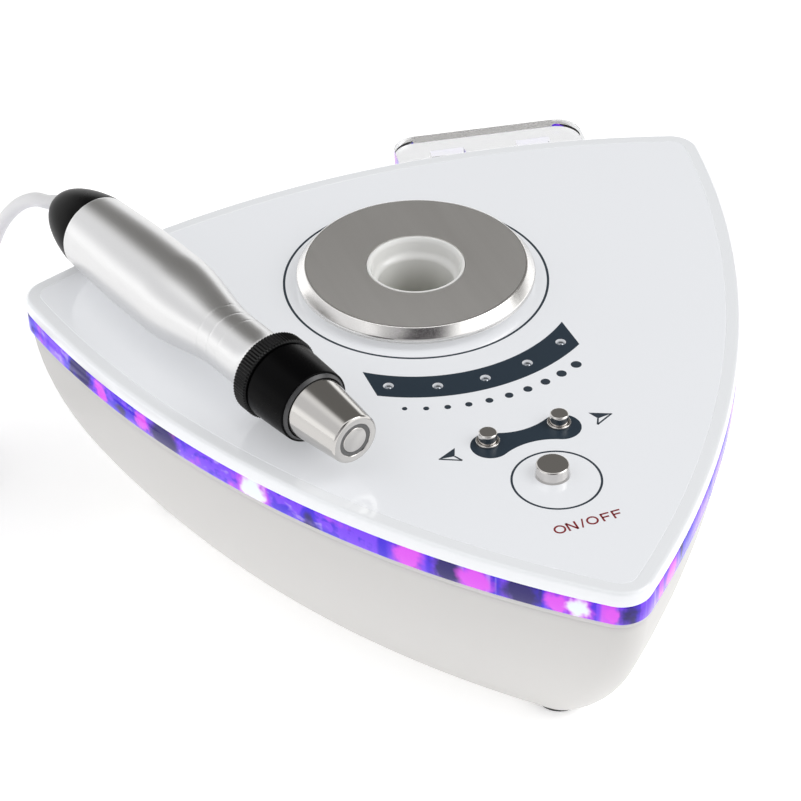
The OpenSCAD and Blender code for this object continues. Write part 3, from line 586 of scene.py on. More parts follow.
def band_look(c):
    """The lit band: soft blots of violet and blue on its sides, upright bars near its front,
    and the glow and gaps of the lamps behind it."""
    f = Finish("light_band", base_color=(0.004, 0.002, 0.02), roughness=0.12, emission_strength=1.0)
    here = f.place()
    front = (-f.part(here, "Y")).above(0.05, 0.085)
    glare = (0.85, 0.93, 1.0)

    def field(scale, stretch):
        blots = f.noise(scale, (1, 1, stretch), rough=0.55)
        bars = f.noise(scale * 1.5, (1, 1, 0.06), rough=0.55)
        return blots + front * (bars - blots)

    def spot(x, y, size):
        apart = f.measure("DISTANCE", here, (x * MM, y * MM, (RIM + PLATE_LOW) / 2 * MM))
        wave = (f.noise(260) - 0.5) * 0.006
        return (apart + wave).above(size * MM, 0.45 * size * MM)

    large, small = field(75, 1.0), field(190, 1.3)
    layers = [(small.above(0.47, 0.38) * 0.8, c.band_blue),
              (small.above(0.58, 0.7) * 0.55, c.band_pale),
              (large.above(0.58, 0.68) * 0.8, c.band_magenta),
              (large.above(0.39, 0.31), c.band_dark)]
    layers += [(spot(*place), c.band_dark) for place in BAND_GAPS]
    layers += [(spot(*place), c.band_magenta) for place in BAND_LAMPS]
    for x, y, size in BAND_GLARES:
        layers += [(spot(x, y, size * 1.35), c.band_magenta), (spot(x, y, size), glare)]
    colour = f.mix(large.above(0.4, 0.48), c.band_blue, c.band_violet)
    for mask, over in layers:
        colour = f.mix(mask, colour, over)
    return f.set("Emission Color", colour).material


def brushed_look(c):
    """Steel with fine straight brush lines."""
    f = Finish("brushed_steel", metallic=1.0)
    lines = f.noise(420, (1, 0.02, 1), 3.0, 0.6)
    f.set("Base Color", f.mix(lines, darker(c.steel, 0.95), c.steel))
    return f.polish(0.36, 0.08, lines).bump(lines, 0.003, 0.25).material


def shoulder_look(c):
    """The disc's turned and slightly mottled edge."""
    f = Finish("steel_shoulder", metallic=1.0, base_color=darker(c.steel, 0.86))
    mottle = f.noise(700, detail=3.0, rough=0.7)
    return f.set("Roughness", 0.16 + 0.16 * mottle).bump(mottle, 0.03, 0.35).material


def handle_look(c):
    """Satin metal with a fine blasted grain."""
    f = Finish("handle", metallic=1.0)
    grain = f.noise(1500)
    f.set("Base Color", f.mix(grain, darker(c.handle, 0.97), c.handle))
    return f.polish(0.33, 0.06, grain).bump(grain, 0.006, 0.35).material


def electrode_look(c):
    """Bright plated metal."""
    f = Finish("electrode", metallic=1.0, base_color=c.electrode)
    return f.polish(0.13, 0.04, f.noise(300)).material


def cup_look(c):
    """White plastic with painted shade: its colour turns grey deep inside the cup."""
    f = Finish("cup", coat_weight=0.3)
    # painted shade: the base colour turns grey towards the cup's bottom, where shade falls in the
    # hollow
    depth = f.part(f.place(), "Z").above(0.06, 0.088)
    f.set("Base Color", f.mix(depth, (0.5, 0.5, 0.45), c.cup))
    return f.polish(0.2, 0.04, f.noise(180)).material


def acrylic_look(c):
    """Clear acrylic with a faint grey tint."""
    f = Finish("acrylic", transmission_weight=1.0, ior=1.49, base_color=(0.78, 0.785, 0.79))
    return f.set("Roughness", 0.02 + 0.02 * f.noise(60)).material


MAKERS = {
    "housing": housing_look,
    "feet": plain("feet", "rubber", 0.75),
    "screws": metal("screws", (0.55, 0.55, 0.56), 0.3),
    "light_ring": band_look,
    "lamp_strip": plain("lamp_strip", (0.7, 0.7, 0.72), 0.5),
    "plate": plate_look,
    "margin": margin_look,
    "spacer": plain("spacer", (0.62, 0.63, 0.65), 0.35),
    "steel": brushed_look,
    "shoulder": shoulder_look,
    "cup": cup_look,
    "lamps": plain("lamps", (0.28, 0.3, 0.33), 0.07, metallic=0.8, coat_weight=0.5),
    "boards": plain("boards", (0.02, 0.13, 0.06), 0.4),
    "switches": plain("switches", (0.06, 0.06, 0.07), 0.5),
    "bright_metal": metal("bright_metal", "chrome", 0.09),
    "guide": plain("guide", (0.75, 0.75, 0.74), 0.4),
    "bracket": acrylic_look,
    "copper": metal("copper", (0.75, 0.38, 0.2), 0.35),
    "sink": metal("sink", (0.5, 0.5, 0.52), 0.4),
    "capacitors": plain("capacitors", (0.03, 0.04, 0.09), 0.35),
    "ribbon": plain("ribbon", (0.45, 0.46, 0.48), 0.5),
    "black_plastic": plain("black_plastic", "black", 0.28, specular_ior_level=0.04),
    "handle": handle_look,
    "gold": metal("gold", (0.9, 0.65, 0.25), 0.2),
    "wires": plain("wires", (0.5, 0.03, 0.03), 0.45),
    "electrode": electrode_look,
    "lead": plain("lead", "lead", 0.42),
    "tie": plain("tie", (0.6, 0.6, 0.6), 0.4),
    "ring_black": plain("ring_black", "black", 0.3, specular_ior_level=0.2),
    "inner_ring": plain("inner_ring", (0.06, 0.06, 0.062), 0.3),
    "tip_gap": plain("tip_gap", (0.11, 0.11, 0.11), 0.3),
    "ink": plain("ink", "ink", 0.4, specular_ior_level=0.3),
    "window": plain("window", "window", 0.3, specular_ior_level=0.3),
    "red_ink": plain("red_ink", "red_ink", 0.4),
    "table": plain("table", (0.98, 0.98, 0.98), 0.7, specular_ior_level=0.2,
                   emission_color=(1, 1, 1), emission_strength=0.4),
}


# ---- what a user may change ----

def size(name, description, default, low, high):
    """A length, given in millimetres and kept in metres."""
    return FloatProperty(name=name, description=description, default=default * MM, min=low * MM,
                         max=high * MM, subtype="DISTANCE", unit="LENGTH", precision=4)


def colour(name, description, default):
    return FloatVectorProperty(name=name, description=description, default=default, size=3,
                               min=0.0, max=1.0, subtype="COLOR")


class TONING_Sizes(PropertyGroup):
    """Sizes of the pieces' finer shape."""
    tub_edge: size("Tub Edge", "Rounding of the tub's lower edge", 2.5, 0.2, 6)
    plate_edge: size("Plate Edge", "Rounding of the plate's upper edge", 1.5, 0.2, 3)
    margin: size("Margin", "Width of the clear margin round the printed field", 4.7, 2, 10)
    groove: size("Groove", "Depth of the line between margin and field", 0.12, 0, 0.4)
    mark: size("Mark Height", "How far the printed marks stand above the plate", 0.04, 0.01, 0.1)
    stroke: size("Stroke", "Width of the letters' strokes", 0.6, 0.2, 1)
    rib: size("Rib Depth", "Depth of the knurling on the coupling ring", 0.32, 0, 1)
    handle_groove: size("Handle Groove", "Depth of the three fine lines on the handle", 0.08, 0, 1)
    lead: size("Lead Diameter", "Thickness of the handpiece's lead", 5, 3, 8)
    ribs: IntProperty(name="Ribs", description="Number of ribs round the coupling ring",
                      default=80, min=12, max=200)


class TONING_Colours(PropertyGroup):
    """Colours of the pieces."""
    housing: colour("Housing", "Moulded tub and frame", (0.64, 0.63, 0.612))
    plate: colour("Plate", "Printed field of the plate", (0.575, 0.59, 0.615))
    margin: colour("Margin", "Clear margin of the plate", (0.58, 0.595, 0.61))
    band_violet: colour("Band Violet", "Lit band, main colour", (0.19, 0.04, 0.9))
    band_blue: colour("Band Blue", "Lit band, pure blue", (0.035, 0.0, 0.7))
    band_magenta: colour("Band Magenta", "Lit band, warm spots", (0.74, 0.08, 0.86))
    band_pale: colour("Band Pale", "Lit band, pale smears", (0.48, 0.36, 0.85))
    band_dark: colour("Band Dark", "Lit band, dark blocks", (0.008, 0.0, 0.12))
    steel: colour("Steel", "Rest disc", (0.96, 0.945, 0.925))
    cup: colour("Cup", "Cup in the rest disc", (0.9, 0.9, 0.88))
    chrome: colour("Bright Metal", "Buttons and their rims", (0.66, 0.64, 0.62))
    handle: colour("Handle", "Handpiece", (0.75, 0.75, 0.75))
    electrode: colour("Electrode", "Metal tip", (0.56, 0.545, 0.525))
    black: colour("Black", "Black plastic of the handpiece", (0.002, 0.002, 0.0022))
    rubber: colour("Rubber", "Feet", (0.03, 0.03, 0.03))
    lead: colour("Lead", "Handpiece's lead", (0.82, 0.82, 0.83))
    ink: colour("Ink", "Printed marks", (0.034, 0.048, 0.065))
    window: colour("Window", "Printed window of the level lamps", (0.026, 0.042, 0.061))
    red_ink: colour("Red Ink", "Letters under the power button", (0.26, 0.015, 0.02))


class Builder(Operator):
    """Common part of the operators."""
    bl_options = {"REGISTER", "UNDO"}

    def execute(self, context):
        self.build(context.scene.toning_sizes)
        return {"FINISHED"}


# ---- stage ----

class TONING_OT_stage(Builder):
    """Adds the table, the soft studio light and the camera"""
    bl_idname = "toning.stage"
    bl_label = "Stage"

    def build(self, sizes):
        shell = Shell()
        half, cells = 4000, 24
        steps = [half * (2 * k / cells - 1) for k in range(cells + 1)]
        shell.skin([shell.row([(x, y, 0) for x in steps]) for y in steps], closed=False)
        table = shell.piece("table", None, ["table"])
        table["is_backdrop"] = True
        self.camera()
        self.lamp("key", (1.4, -0.5, 1.5), 1.3, 9)
        self.lamp("fill", (-1.1, -0.7, 1.6), 1.1, 1.5)
        self.world()

    def camera(self):
        camera = add("camera", bpy.data.cameras.new("camera"))
        right = Vector((0.92935, -0.36882, -0.01668))
        up = Vector((0.23870, 0.56578, 0.78927))
        camera.matrix_world = Matrix((right, up, right.cross(up))).transposed().to_4x4()
        camera.location = (-0.2632, -0.6328, 0.5952)
        camera.data.sensor_width = 36
        camera.data.lens = 119.0
        camera.data.clip_start = 0.01
        bpy.context.scene.camera = camera
        bpy.context.scene.view_settings.view_transform = "Standard"

    def lamp(self, name, at, width, power):
        """A round lamp that points at the console's middle."""
        light = bpy.data.lights.new(name, "AREA")
        light.shape = "DISK"
        light.size = width
        light.energy = power
        add(name, light).matrix_world = axis_place(at, Vector(at) - Vector((0, 0, 0.05)))

    def world(self):
        """White for the camera. Metal and gloss see a bright room that is greyer at the left and
        low in front, dark behind and nearly black high in front."""
        world = bpy.data.worlds.new("studio")
        bpy.context.scene.world = world
        world.use_nodes = True
        w = Nodes(world.node_tree)
        bright, grey = (1.45, 1.45, 1.45), (0.4, 0.4, 0.42)
        dark, black = (0.19, 0.185, 0.177), (0.05, 0.045, 0.05)
        way = w.node("ShaderNodeTexCoord").outputs["Generated"]
        back, aside = (w.measure("DOT_PRODUCT", way, axis)
                       for axis in ((0.357, 0.934, 0.0), (0.934, -0.357, 0.0)))
        high = w.part(way, "Z")
        behind = back.above(0.02, 0.35) * high.above(0.08, 0.3) * aside.above(-0.68, -0.3)
        middle = 1 - abs(aside + 0.05).above(0.35, 0.62)
        overhead = (-back).above(0.1, 0.3) * high.above(0.4, 0.55) * middle
        left = (-aside).above(0.4, 0.75) * high.above(0.15, 0.4)
        front = (-back).above(0.5, 0.9) * (1 - high.above(0.35, 0.6))
        room = w.mix(left * 0.55 + front * 0.85, bright, grey)
        room = w.mix(behind, room, dark)
        room = w.mix(overhead, room, black)
        seen = w.node("ShaderNodeLightPath").outputs["Is Camera Ray"]
        w.put(w.tree.nodes["Background"].inputs["Color"], w.mix(seen, room, (1, 1, 1)))


# ---- lead ----

def coil_place(angle):
    """The line's distance from the coil's middle and its height at that angle."""
    for (a, *here), (b, *there) in zip(COIL_PLACES, COIL_PLACES[1:]):
        if angle <= b:
            t = eased((angle - a) / (b - a))
            return [x + (y - x) * t for x, y in zip(here, there)]


def through(points):
    """A smooth line through points, with one more point between each two."""
    points = [Vector(p) for p in points]
    ends = [2 * points[0] - points[1], *points, 2 * points[-1] - points[-2]]
    out = []
    for a, b, c, d in zip(ends, ends[1:], ends[2:], ends[3:]):
        out += [b, (9 * (b + c) - a - d) / 16]
    return out + [points[-1]]


def lead_line():
    """The lead's line from the handpiece over the table and round the coil to its plug."""
    coil = []
    for angle in range(COIL_PLACES[0][0], COIL_PLACES[-1][0] + 1, COIL_STEP):
        r, z = coil_place(angle)
        a = math.radians(angle)
        coil.append(COIL_AT + Vector((r * math.cos(a), r * math.sin(a), z)))
    start = through([*LEAD_ROUTE, coil[0], coil[1]])[:-3]
    end = through([coil[-2], coil[-1], *TAIL_ROUTE])[3:]
    return start + coil + end


class TONING_OT_lead(Builder):
    """Adds the handpiece's lead with its coil"""
    bl_idname = "toning.lead"
    bl_label = "Lead"

    def build(self, sizes):
        line = lead_line()
        r = sizes.lead / MM / 2
        shell = Shell()
        rows, side = [], Vector((0, 0, 1))
        for before, point, after in zip(line[:1] + line, line, line[1:] + line[-1:]):
            way = (after - before).normalized()
            side = (side - way * side.dot(way)).normalized()
            other = way.cross(side)
            rows.append(shell.row([point + r * (math.cos(a) * side + math.sin(a) * other)
                                   for a in full_turn(LEAD_SIDES)]))
        shell.skin([shell.row([line[0]]), *rows, shell.row([line[-1]])])
        lead = shell.piece("lead", None, ["lead"], ("handpiece_lead", "lead_coil", "plug_tail"),
                           60)
        at = Vector(LEAD_ROUTE[0]) * MM
        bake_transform(lead)
        length = sum((b - a).length for a, b in zip(line, line[1:])) * MM
        [tuple(p * MM) for p in line]


class TONING_OT_plug(Builder):
    """Adds the plug at the lead's end and its knurled collar"""
    bl_idname = "toning.plug"
    bl_label = "Plug"

    def build(self, sizes):
        place = axis_place(PLUG_AT, (0, -1, 0))
        shell = Shell(place)
        boot = [(2.55, 0), (3.2, 0)]
        for k in range(4):
            r, s = 3.5 + 0.42 * k, 1.4 + 2.2 * k
            boot += [(r, s), (r + 0.1, s + 0.8), (r - 0.35, s + 1.1), (r - 0.3, s + 1.6)]
        shell.turn(soften(boot + [(5.4, 10.6), (5.4, 12)], 0.2, 2), 64, 1)
        shell.turn(soften([(5.2, 12), (7.2, 12), (7.2, 15), (6.9, 15.3), (6.9, 16.3), (7.2, 16.6),
                           (7.2, 26), (6, 26), (6, 36), (4.8, 36), (4.8, 40), (4.1, 40),
                           (4.1, 37), (0, 37)], 0.35), 64)
        shell.piece("plug", "root", ["bright_metal", "lead"], ("lead_plug",))
        shell = Shell(place)
        low, high, outer = 26.2, 37.2, 8
        profile = soften([(6.1, low), (outer - 0.4, low), (outer, low + 0.4), (outer, high - 0.4),
                          (outer - 0.4, high), (6.1, high)], 0.2, 2)
        middle = len(profile) // 2
        profile[middle:middle] = [(outer, low + 1.5), (outer, high - 1.5)]
        shell.turn(profile, 160, ribs=(40, 0.35, low + 1.4, high - 1.4), closed=True)
        shell.piece("plug_collar_knurled", "plug_collar", ["bright_metal"], ("plug_collar",),
                    30)


# ---- console ----

def screw_points():
    """The places of the four screws under the tub."""
    sides = [Vector((x, DISC_Y - SCREW_BEFORE_DISC)) for x in (SCREW_X, -SCREW_X)]
    return sides + [corner(0, SCREW_INSET), corner(1, SCREW_INSET)]


class TONING_OT_tub(Builder):
    """Adds the moulded tub with its connector bay and screw wells"""
    bl_idname = "toning.tub"
    bl_label = "Tub"

    def build(self, sizes):
        shell = Shell()
        edge = sizes.tub_edge / MM
        shape = []
        for a in quarter(6):
            z = TUB_FOOT + edge * (1 - math.cos(a))
            shape.append((z, tuck(z) + edge * (1 - math.sin(a))))
        heights = [9, 14, BAY_LOW, 26, 32, 38, BAY_HIGH, 50, 56, 61, 65, 68, 70.1]
        shape += [(z, tuck(z)) for z in heights]
        lip = TUB_TOP - 0.05
        shape += [(70.4, tuck(70.4) + 0.1), (lip, tuck(TUB_TOP) + 0.35),
                  (lip, tuck(TUB_TOP) + 2.6), (64, tuck(64) + 2.8)]
        rows = [shell.row(outline(inset), z) for z, inset in shape]
        bay = [i for i, (z, _) in enumerate(shape) if BAY_LOW <= z <= BAY_HIGH]
        first, last = bay[0], bay[-1]
        shell.skin(rows[:first + 1])
        shell.skin(rows[first:last + 1], skip=range(BAY_START, BAY_END))
        shell.skin(rows[last:])
        self.bay(shell, rows[first:last + 1])
        mouths = [shell.row(circle(*p, WELL_R, 32), TUB_FOOT) for p in screw_points()]
        shell.fill([rows[0], *mouths])
        for mouth, p in zip(mouths, screw_points()):
            shell.skin([mouth, shell.row(circle(*p, WELL_END_R, 32), WELL_TOP),
                        shell.row([p], WELL_TOP)])
        shell.piece("tub", "root", ["housing"], ("base_housing",), 32)

    def bay(self, shell, rows):
        """Walls from the bay's mouth in to the connector panel."""
        span = range(BAY_START, BAY_END + 1)
        mouth = ([rows[0][i] for i in span] + [row[BAY_END] for row in rows[1:-1]]
                 + [rows[-1][i] for i in reversed(span)]
                 + [row[BAY_START] for row in reversed(rows[1:-1])])
        panel = shell.row([(v.co.x / MM, BAY_PANEL_Y, v.co.z / MM) for v in mouth])
        shell.skin([mouth, panel])
        shell.fill([panel])


class TONING_OT_plate(Builder):
    """Adds the printed plate with its rounded edge and holes"""
    bl_idname = "toning.plate"
    bl_label = "Plate"

    def build(self, sizes):
        shell = Shell()
        edge, margin, groove = sizes.plate_edge / MM, sizes.margin / MM, sizes.groove / MM
        shape = [(PLATE_LOW, 0.4), (PLATE_LOW + 0.15, 0.1), (PLATE_LOW + 0.5, 0)]
        shape += [(TOP - 0.8 * edge * (1 - math.sin(a)), edge * (1 - math.cos(a)))
                  for a in quarter(6)]
        shape += [(TOP, margin - 0.5), (TOP, margin - 0.2), (TOP - groove, margin - 0.1),
                  (TOP - groove, margin + 0.1)]
        rows = [shell.row(plate_outline(inset), z) for z, inset in shape]
        shell.skin(rows, 1)
        field = [shell.row(plate_outline(margin + more), TOP) for more in (0.2, 0.5)]
        shell.skin([rows[-1], *field])
        holes = [circle(0, DISC_Y, CUP_HOLE_R, 64)]
        holes += [circle(x, DISC_Y + y, LAMP_R + 0.15, 24) for x, y in LAMPS_AT]
        holes += [circle(x, DISC_Y + y, hole, 40) for x, y, _, hole in BUTTONS.values()]
        tops = [shell.row(hole, TOP) for hole in holes]
        feet = [shell.row(hole, PLATE_LOW) for hole in holes]
        shell.fill([field[-1], *tops])
        shell.fill([rows[0], *feet])
        for top, foot in zip(tops, feet):
            shell.skin([foot, top])
        shell.piece("plate", "root", ["plate", "margin"], ("top_plate",), 30)


class TONING_OT_band(Builder):
    """Adds the lit band between the frame and the plate"""
    bl_idname = "toning.band"
    bl_label = "Lit Band"

    def build(self, sizes):
        shell = Shell()
        low, high, depth = RIM, PLATE_LOW, 6
        shape = [(low, 0.45), (low + 0.12, 0.12), (low + 0.4, 0), ((low + high) / 2, 0),
                 (high - 0.4, 0), (high - 0.12, 0.12), (high, 0.45), (high, depth), (low, depth)]
        rows = []
        for z, inset in shape:
            points = plate_outline(inset)
            rows.append(shell.row(points[GAP_END:] + points[:GAP_START + 1], z))
        shell.skin([*rows, rows[0]], closed=False)
        for end in (0, -1):
            shell.mesh.faces.new([row[end] for row in rows])
        shell.piece("lit_band", "root", ["light_ring"], ("light_ring",), 50)


class TONING_OT_marks(Builder):
    """Adds the marks printed on the plate"""
    bl_idname = "toning.marks"
    bl_label = "Printed Marks"

    def build(self, sizes):
        shell = Shell(at_disc())
        for slot, loops in self.marks(sizes.stroke / MM):
            shell.slab(loops, TOP - MARK_SUNK, TOP + sizes.mark / MM, slot)
        shell.piece("printed_marks", "root", ["ink", "window", "red_ink"], ())

    def marks(self, width):
        """Each mark's finish and its loops, in the disc's place."""
        ink, window, red = 0, 1, 2
        yield ink, [circle(0, 0, r, 160) for r in (44.4, 43.6)]
        yield window, self.lamp_window()
        for k in range(DOTS):
            at = ahead(DOT_ARC, math.radians(DOT_SPREAD * (2 * k / (DOTS - 1) - 1)))
            yield ink, [circle(*at, DOT_R + DOT_GROWTH * k, 24)]
        yield window, self.dumbbell()
        for side in (1, -1):
            upper, tip, lower, notch = ((x * side, y) for x, y in (
                (22.5, -87.85), (29.1, -91.0), (22.7, -94.3), (24.1, -91.6)))
            yield ink, [[tip, upper, notch]]
            yield ink, [bar(tip, lower, 0.55)]
            yield ink, [bar(lower, notch, 0.55)]
        yield ink, [circle(0, -113.9, r, 96) for r in (14.0, 13.3)]
        for loops in self.letters(width):
            yield red, loops

    def lamp_window(self):
        """The curved dark window with a hole for each lamp."""
        down, inner, outer = -math.pi / 2, math.radians(40.35), math.radians(32.8)
        edge = (arc((0, 0), 53.7, down - inner, down + inner, 48)
                + arc((0, 0), 64.5, down + outer, down - outer, 48))
        return [edge] + [circle(*at, LAMP_R + 0.1, 24) for at in LAMPS_AT]

    def dumbbell(self):
        """The dark field under the two level buttons, with a hole for each."""
        x, y, end_r = 12, -91, 6.2
        waist_y, waist_r, turn = 23.38, 20.08, math.radians(117.16)
        edge = arc((x, y), end_r, -turn, turn, 40)
        edge += arc((0, y + waist_y), waist_r, turn - math.pi, -turn, 20)[1:-1]
        edge += arc((-x, y), end_r, math.pi - turn, math.pi + turn, 40)
        edge += arc((0, y - waist_y), waist_r, turn, math.pi - turn, 20)[1:-1]
        return [edge] + [circle(x, y, 3.5, 32) for x, y, *_ in LEVEL_BUTTONS]

    def letters(self, width):
        """The words ON and OFF with a stroke between them."""
        low, high = -137.0, -133.4
        mid = (low + high) / 2
        half_w, half_h = 1.9, (high - low) / 2 + 0.05
        for x in (-8.6, 1.95):
            yield [oval(x, mid, half_w, half_h), oval(x, mid, half_w - width, half_h - width)]
        n = [(-6.0, low), (-6.0, high), (-3.4, low), (-3.4, high)]
        for a, b in zip(n, n[1:]):
            yield [bar(a, b, width)]
        yield [bar((-1.9, low - 0.1), (-0.7, high + 0.1), width * 0.8)]
        for x in (5.2, 8.8):
            yield [bar((x, low), (x, high), width)]
            yield [bar((x, high - width / 2), (x + 2.6, high - width / 2), width)]
            yield [bar((x, mid), (x + 2.2, mid), width)]


class TONING_OT_rest(Builder):
    """Adds the steel disc and the white cup that the handpiece stands in"""
    bl_idname = "toning.rest"
    bl_label = "Rest Disc And Cup"

    def build(self, sizes):
        self.disc()
        self.cup()

    def disc(self):
        """The disc. Its brushed face falls a little towards the cup's brim."""
        shell = Shell(at_disc())
        low, bore = foot_of("rest_disc"), 16.5
        face, edge = 0, 1
        rim = soften([(39.8, low + 0.6), (39.8, 88.9), (37, DISC_TOP), (30, DISC_TOP)], 0.5)
        profile = [(r, z, edge) for r, z in [(bore, low), (39.2, low)] + rim[:-1]]
        profile += [(36.4, DISC_TOP - 0.01, face), (bore + 0.1, CUP_BRIM, face),
                    (bore, CUP_BRIM - 0.3, edge)]
        shell.turn(profile, 160, edge, closed=True)
        shell.piece("disc", "root", ["steel", "shoulder"], ("rest_disc",), 24)

    def cup(self):
        shell = Shell(at_disc())
        profile = [(0, 56.6), (14.8, 56.6), (14.8, 86), (16.4, 86), (16.4, CUP_BRIM),
                   (15.6, CUP_BRIM), (14.9, CUP_BRIM - 1.2), (14.2, 86), (12.6, 84.6),
                   (12.6, 58.6), (0, 58.6)]
        shell.turn(soften(profile, 0.9))
        shell.piece("cup", "root", ["cup"], ("rest_cup",))


class TONING_OT_buttons(Builder):
    """Adds the three metal buttons and the two level buttons' rims"""
    bl_idname = "toning.buttons"
    bl_label = "Buttons"

    def build(self, sizes):
        for name, (x, y, r, _) in BUTTONS.items():
            shell = Shell(at_disc(x, y))
            low, top, under, stem_r = foot_of(name), top_of(name), TOP - 8, 1.2
            profile = [(0, low), (stem_r, low), (stem_r, under), (r, under), (r, top - 0.75)]
            profile += [(r - 0.75 + 0.75 * math.cos(a), top - 0.6 + 0.6 * math.sin(a))
                        for a in quarter(6)]
            shell.turn(profile + [(r - 1.4, top - 0.02), (0, top - 0.02)], 72)
            shell.piece(name + "_cap", name, ["bright_metal"], (name,), 30)
        shell = Shell()
        low, high = foot_of("button_bezels"), TOP + 0.8
        for x, y, r, _ in LEVEL_BUTTONS:
            shell.place = at_disc(x, y)
            bore, neck, flange = r + 0.08, r + 0.47, r + 0.82
            profile = [(bore, low), (neck, low), (neck, TOP), (flange, TOP), (flange, high),
                       (bore, high)]
            shell.turn(soften(profile, 0.28, closed=True), 72, closed=True)
        shell.piece("button_rims", "root", ["bright_metal"], ("button_bezels",))


class TONING_OT_lamps(Builder):
    """Adds the five lenses of the level lamps"""
    bl_idname = "toning.lamps"
    bl_label = "Level Lamps"

    def build(self, sizes):
        shell = Shell()
        low = foot_of("level_lamps")
        profile = [(0, low), (LAMP_R, low)]
        profile += [(LAMP_R * math.cos(a), TOP - LAMP_R + LAMP_R * math.sin(a))
                    for a in quarter(8)]
        for at in LAMPS_AT:
            shell.place = at_disc(*at)
            shell.turn(profile, 32)
        shell.piece("lamp_lenses", "root", ["lamps"], ("level_lamps",))


# ---- handpiece ----

def handle_radius(s, groove):
    """The handle's radius at a place along its axis."""
    crown, shoulder, waist = 32, 45.5, 78
    if s <= crown:
        r = SEAM_R + (GRIP_R - SEAM_R) * math.sin(math.pi / 2 * s / crown)
    else:
        t = min(max((s - shoulder) / (waist - shoulder), 0), 1)
        r = GRIP_R - (GRIP_R - WAIST_R) * eased(t)
    for middle in GROOVES:
        r -= groove * max(0, 1 - abs(s - middle) / GROOVE_HALF)
    return r


def cap_radius(s):
    """The end cap's radius at that distance behind its seam."""
    return SEAM_R * (1 - (s / 22.7) ** 1.29) ** 0.39


class TONING_OT_handle(Builder):
    """Adds the handpiece's metal shell and its black end cap"""
    bl_idname = "toning.handle"
    bl_label = "Handle"

    def build(self, sizes):
        self.handle(sizes.handle_groove / MM)
        self.cap()

    def handle(self, groove):
        """The shell with its fine lines and, at its front, a flared lip."""
        shell = Shell(WAND)
        places = sorted({0.25} | {0.85 * k for k in range(1, 109)}
                        | {m + d for m in GROOVES for d in (-GROOVE_HALF, 0, GROOVE_HALF)})
        profile = [(12.8, 0.02), (13.05, 0.05), (13.18, 0.15)]
        profile += [(handle_radius(s, groove), s) for s in places]
        profile += [(10.25, 93), (10.35, 94.4), (10.5, 95), (11.1, 96.3), (11.15, 96.6),
                    (11.1, 97.1), (10.9, 97.3), (7, 97.3)]
        shell.turn(profile, 128)
        shell.piece("handle", "handpiece", ["handle"], ("handle_shell",), 30)

    def cap(self):
        """The end cap, from the lead's hole round to its seam."""
        shell = Shell(WAND)
        profile = [(2.5, -19), (2.5, -22), (3.1, -22.15), (3.5, -22.1)]
        profile += [(cap_radius(s), -s)
                    for s in (22.1 * (1 - (k / 24) ** 2) for k in range(1, 24))]
        profile += [(13.18, -0.15), (13.05, -0.05), (12.8, -0.02), (11.8, -0.02)]
        shell.turn(profile, 128)
        shell.piece("end_cap", "handpiece", ["black_plastic"], ("tail_cap",))


class TONING_OT_head(Builder):
    """Adds the coupling ring, the black sleeve and the metal electrodes"""
    bl_idname = "toning.head"
    bl_label = "Head"

    def build(self, sizes):
        self.ring(sizes.ribs, sizes.rib / MM)
        self.sleeve()
        self.electrodes()

    def ring(self, ribs, depth):
        shell = Shell(WAND)
        low, high = 98, 104
        profile = [(10.4, low), (13.1, low), (13.5, low + 0.1), (13.9, low + 0.5),
                   (13.9, low + 0.8), (13.9, high - 0.8), (13.9, high - 0.5),
                   (13.5, high - 0.1), (13.1, high), (11.2, high)]
        shell.turn(profile, 4 * ribs, ribs=(ribs, depth, low + 0.05, high - 0.05))
        shell.piece("coupling_ring_knurled", "coupling_ring", ["ring_black"],
                    ("coupling_ring",), 26)

    def sleeve(self):
        """The tapering sleeve and, in its mouth, a grey slanted ring."""
        shell = Shell(WAND)
        profile = [(10.9, 104.4), (12.4, 104.4), (12.8, 104.55), (13.0, 105), (12.22, 120.9),
                   (12.15, 121.3), (11.95, 121.5), (11.7, 121.5), (11.5, 121.35, 1),
                   (10.7, 122.45, 1), (10.5, 122.3, 1), (10.5, 121, 1)]
        shell.turn(soften(profile, 0.25, 3), 128)
        shell.piece("sleeve", "head", ["black_plastic", "inner_ring"], ("head_sleeve",),
                    30)

    def electrodes(self):
        """The tip's outer ring and its centre."""
        shell = Shell(WAND)
        profile = [(9.8, 120.4), (10.45, 120.9)]
        profile += [(7.2 + math.cos(a), 141.3 + math.sin(a)) for a in quarter(8)]
        profile += [(5.7, 142.3), (5.55, 142.15), (5.55, 140)]
        shell.turn(profile, 128)
        shell.piece("tip_ring", "head", ["electrode"], ("outer_electrode",), 30)
        shell = Shell(WAND)
        shell.turn([(0, 140.5), (4.3, 140.5), (4.3, 141.9), (4.22, 142.1), (4.05, 142.2),
                    (0, 142.2)])
        shell.piece("tip_centre", "head", ["electrode"], ("centre_electrode",), 40)


# ---- everything else ----

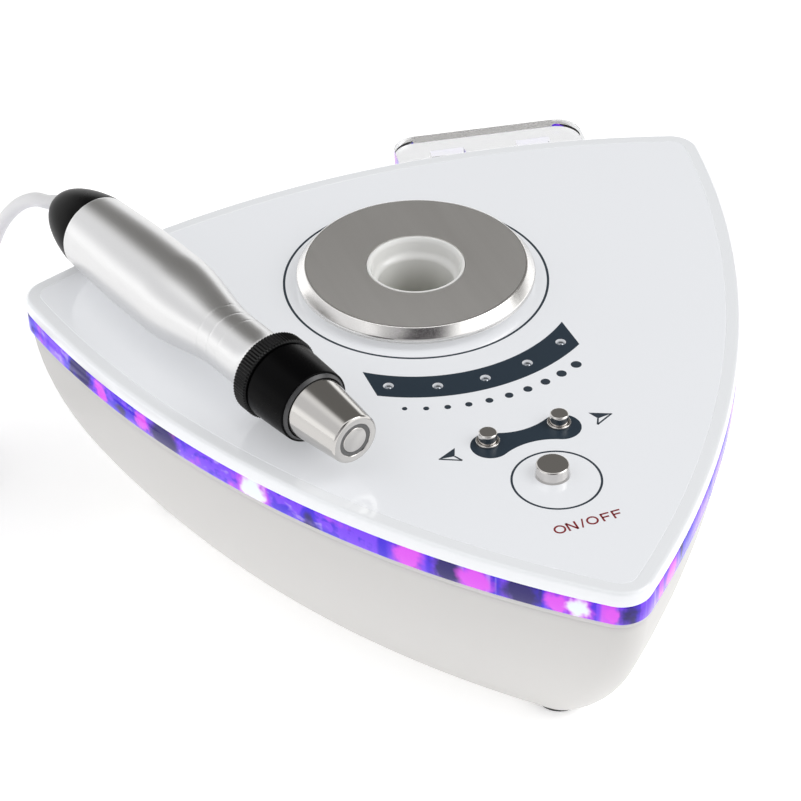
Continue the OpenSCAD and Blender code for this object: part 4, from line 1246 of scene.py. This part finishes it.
class TONING_OT_fittings(Builder):
    """Finishes the frame, bracket, feet, boards, screws and connectors"""
    bl_idname = "toning.fittings"
    bl_label = "Fittings"

    def build(self, sizes):
        for part in frame["record"]["subparts"]:
            name = part["node"]
            node = frame["nodes"][name]
            if node.hide_render:
                continue
            finish = "tip_gap" if name == "insulator" else part["material_slot"]
            node.data.materials.clear()
            node.data.materials.append(look(finish))
            node.modifiers.new("weld", "WELD").merge_threshold = WELD * MM
            if name in SOFTENED:
                bevel = node.modifiers.new("edges", "BEVEL")
                bevel.width = BEVEL * MM
                bevel.segments = 2
                bevel.limit_method = "ANGLE"
                bevel.angle_limit = math.radians(50)
                bevel.use_clamp_overlap = True


BUILDERS = (TONING_OT_stage, TONING_OT_plug, TONING_OT_lead, TONING_OT_tub, TONING_OT_plate,
            TONING_OT_band, TONING_OT_marks, TONING_OT_rest, TONING_OT_buttons, TONING_OT_lamps,
            TONING_OT_handle, TONING_OT_head, TONING_OT_fittings)


class TONING_PT_panel(Panel):
    """Lists the pieces and what may be changed"""
    bl_label = "Toning Device"
    bl_idname = "TONING_PT_panel"
    bl_space_type = "VIEW_3D"
    bl_region_type = "UI"
    bl_category = "Toning Device"

    def draw(self, context):
        layout = self.layout
        for builder in BUILDERS:
            layout.operator(builder.bl_idname)
        for group in (context.scene.toning_sizes, context.scene.toning_colours):
            box = layout.box()
            for key in group.__annotations__:
                box.prop(group, key)


CLASSES = (TONING_Sizes, TONING_Colours, *BUILDERS, TONING_PT_panel)


def register():
    for item in CLASSES:
        bpy.utils.register_class(item)
    bpy.types.Scene.toning_sizes = PointerProperty(type=TONING_Sizes)
    bpy.types.Scene.toning_colours = PointerProperty(type=TONING_Colours)


def unregister():
    del bpy.types.Scene.toning_sizes
    del bpy.types.Scene.toning_colours
    for item in reversed(CLASSES):
        bpy.utils.unregister_class(item)


def main():
    register()
    for builder in BUILDERS:
        group, name = builder.bl_idname.split(".")
        getattr(getattr(bpy.ops, group), name)()
    boxes = {"cad": CAD_BOX, "visual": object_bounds()}
    {key: [list(low), list(high)] for key, (low, high) in boxes.items()}


if __name__ == "__main__":
    main()
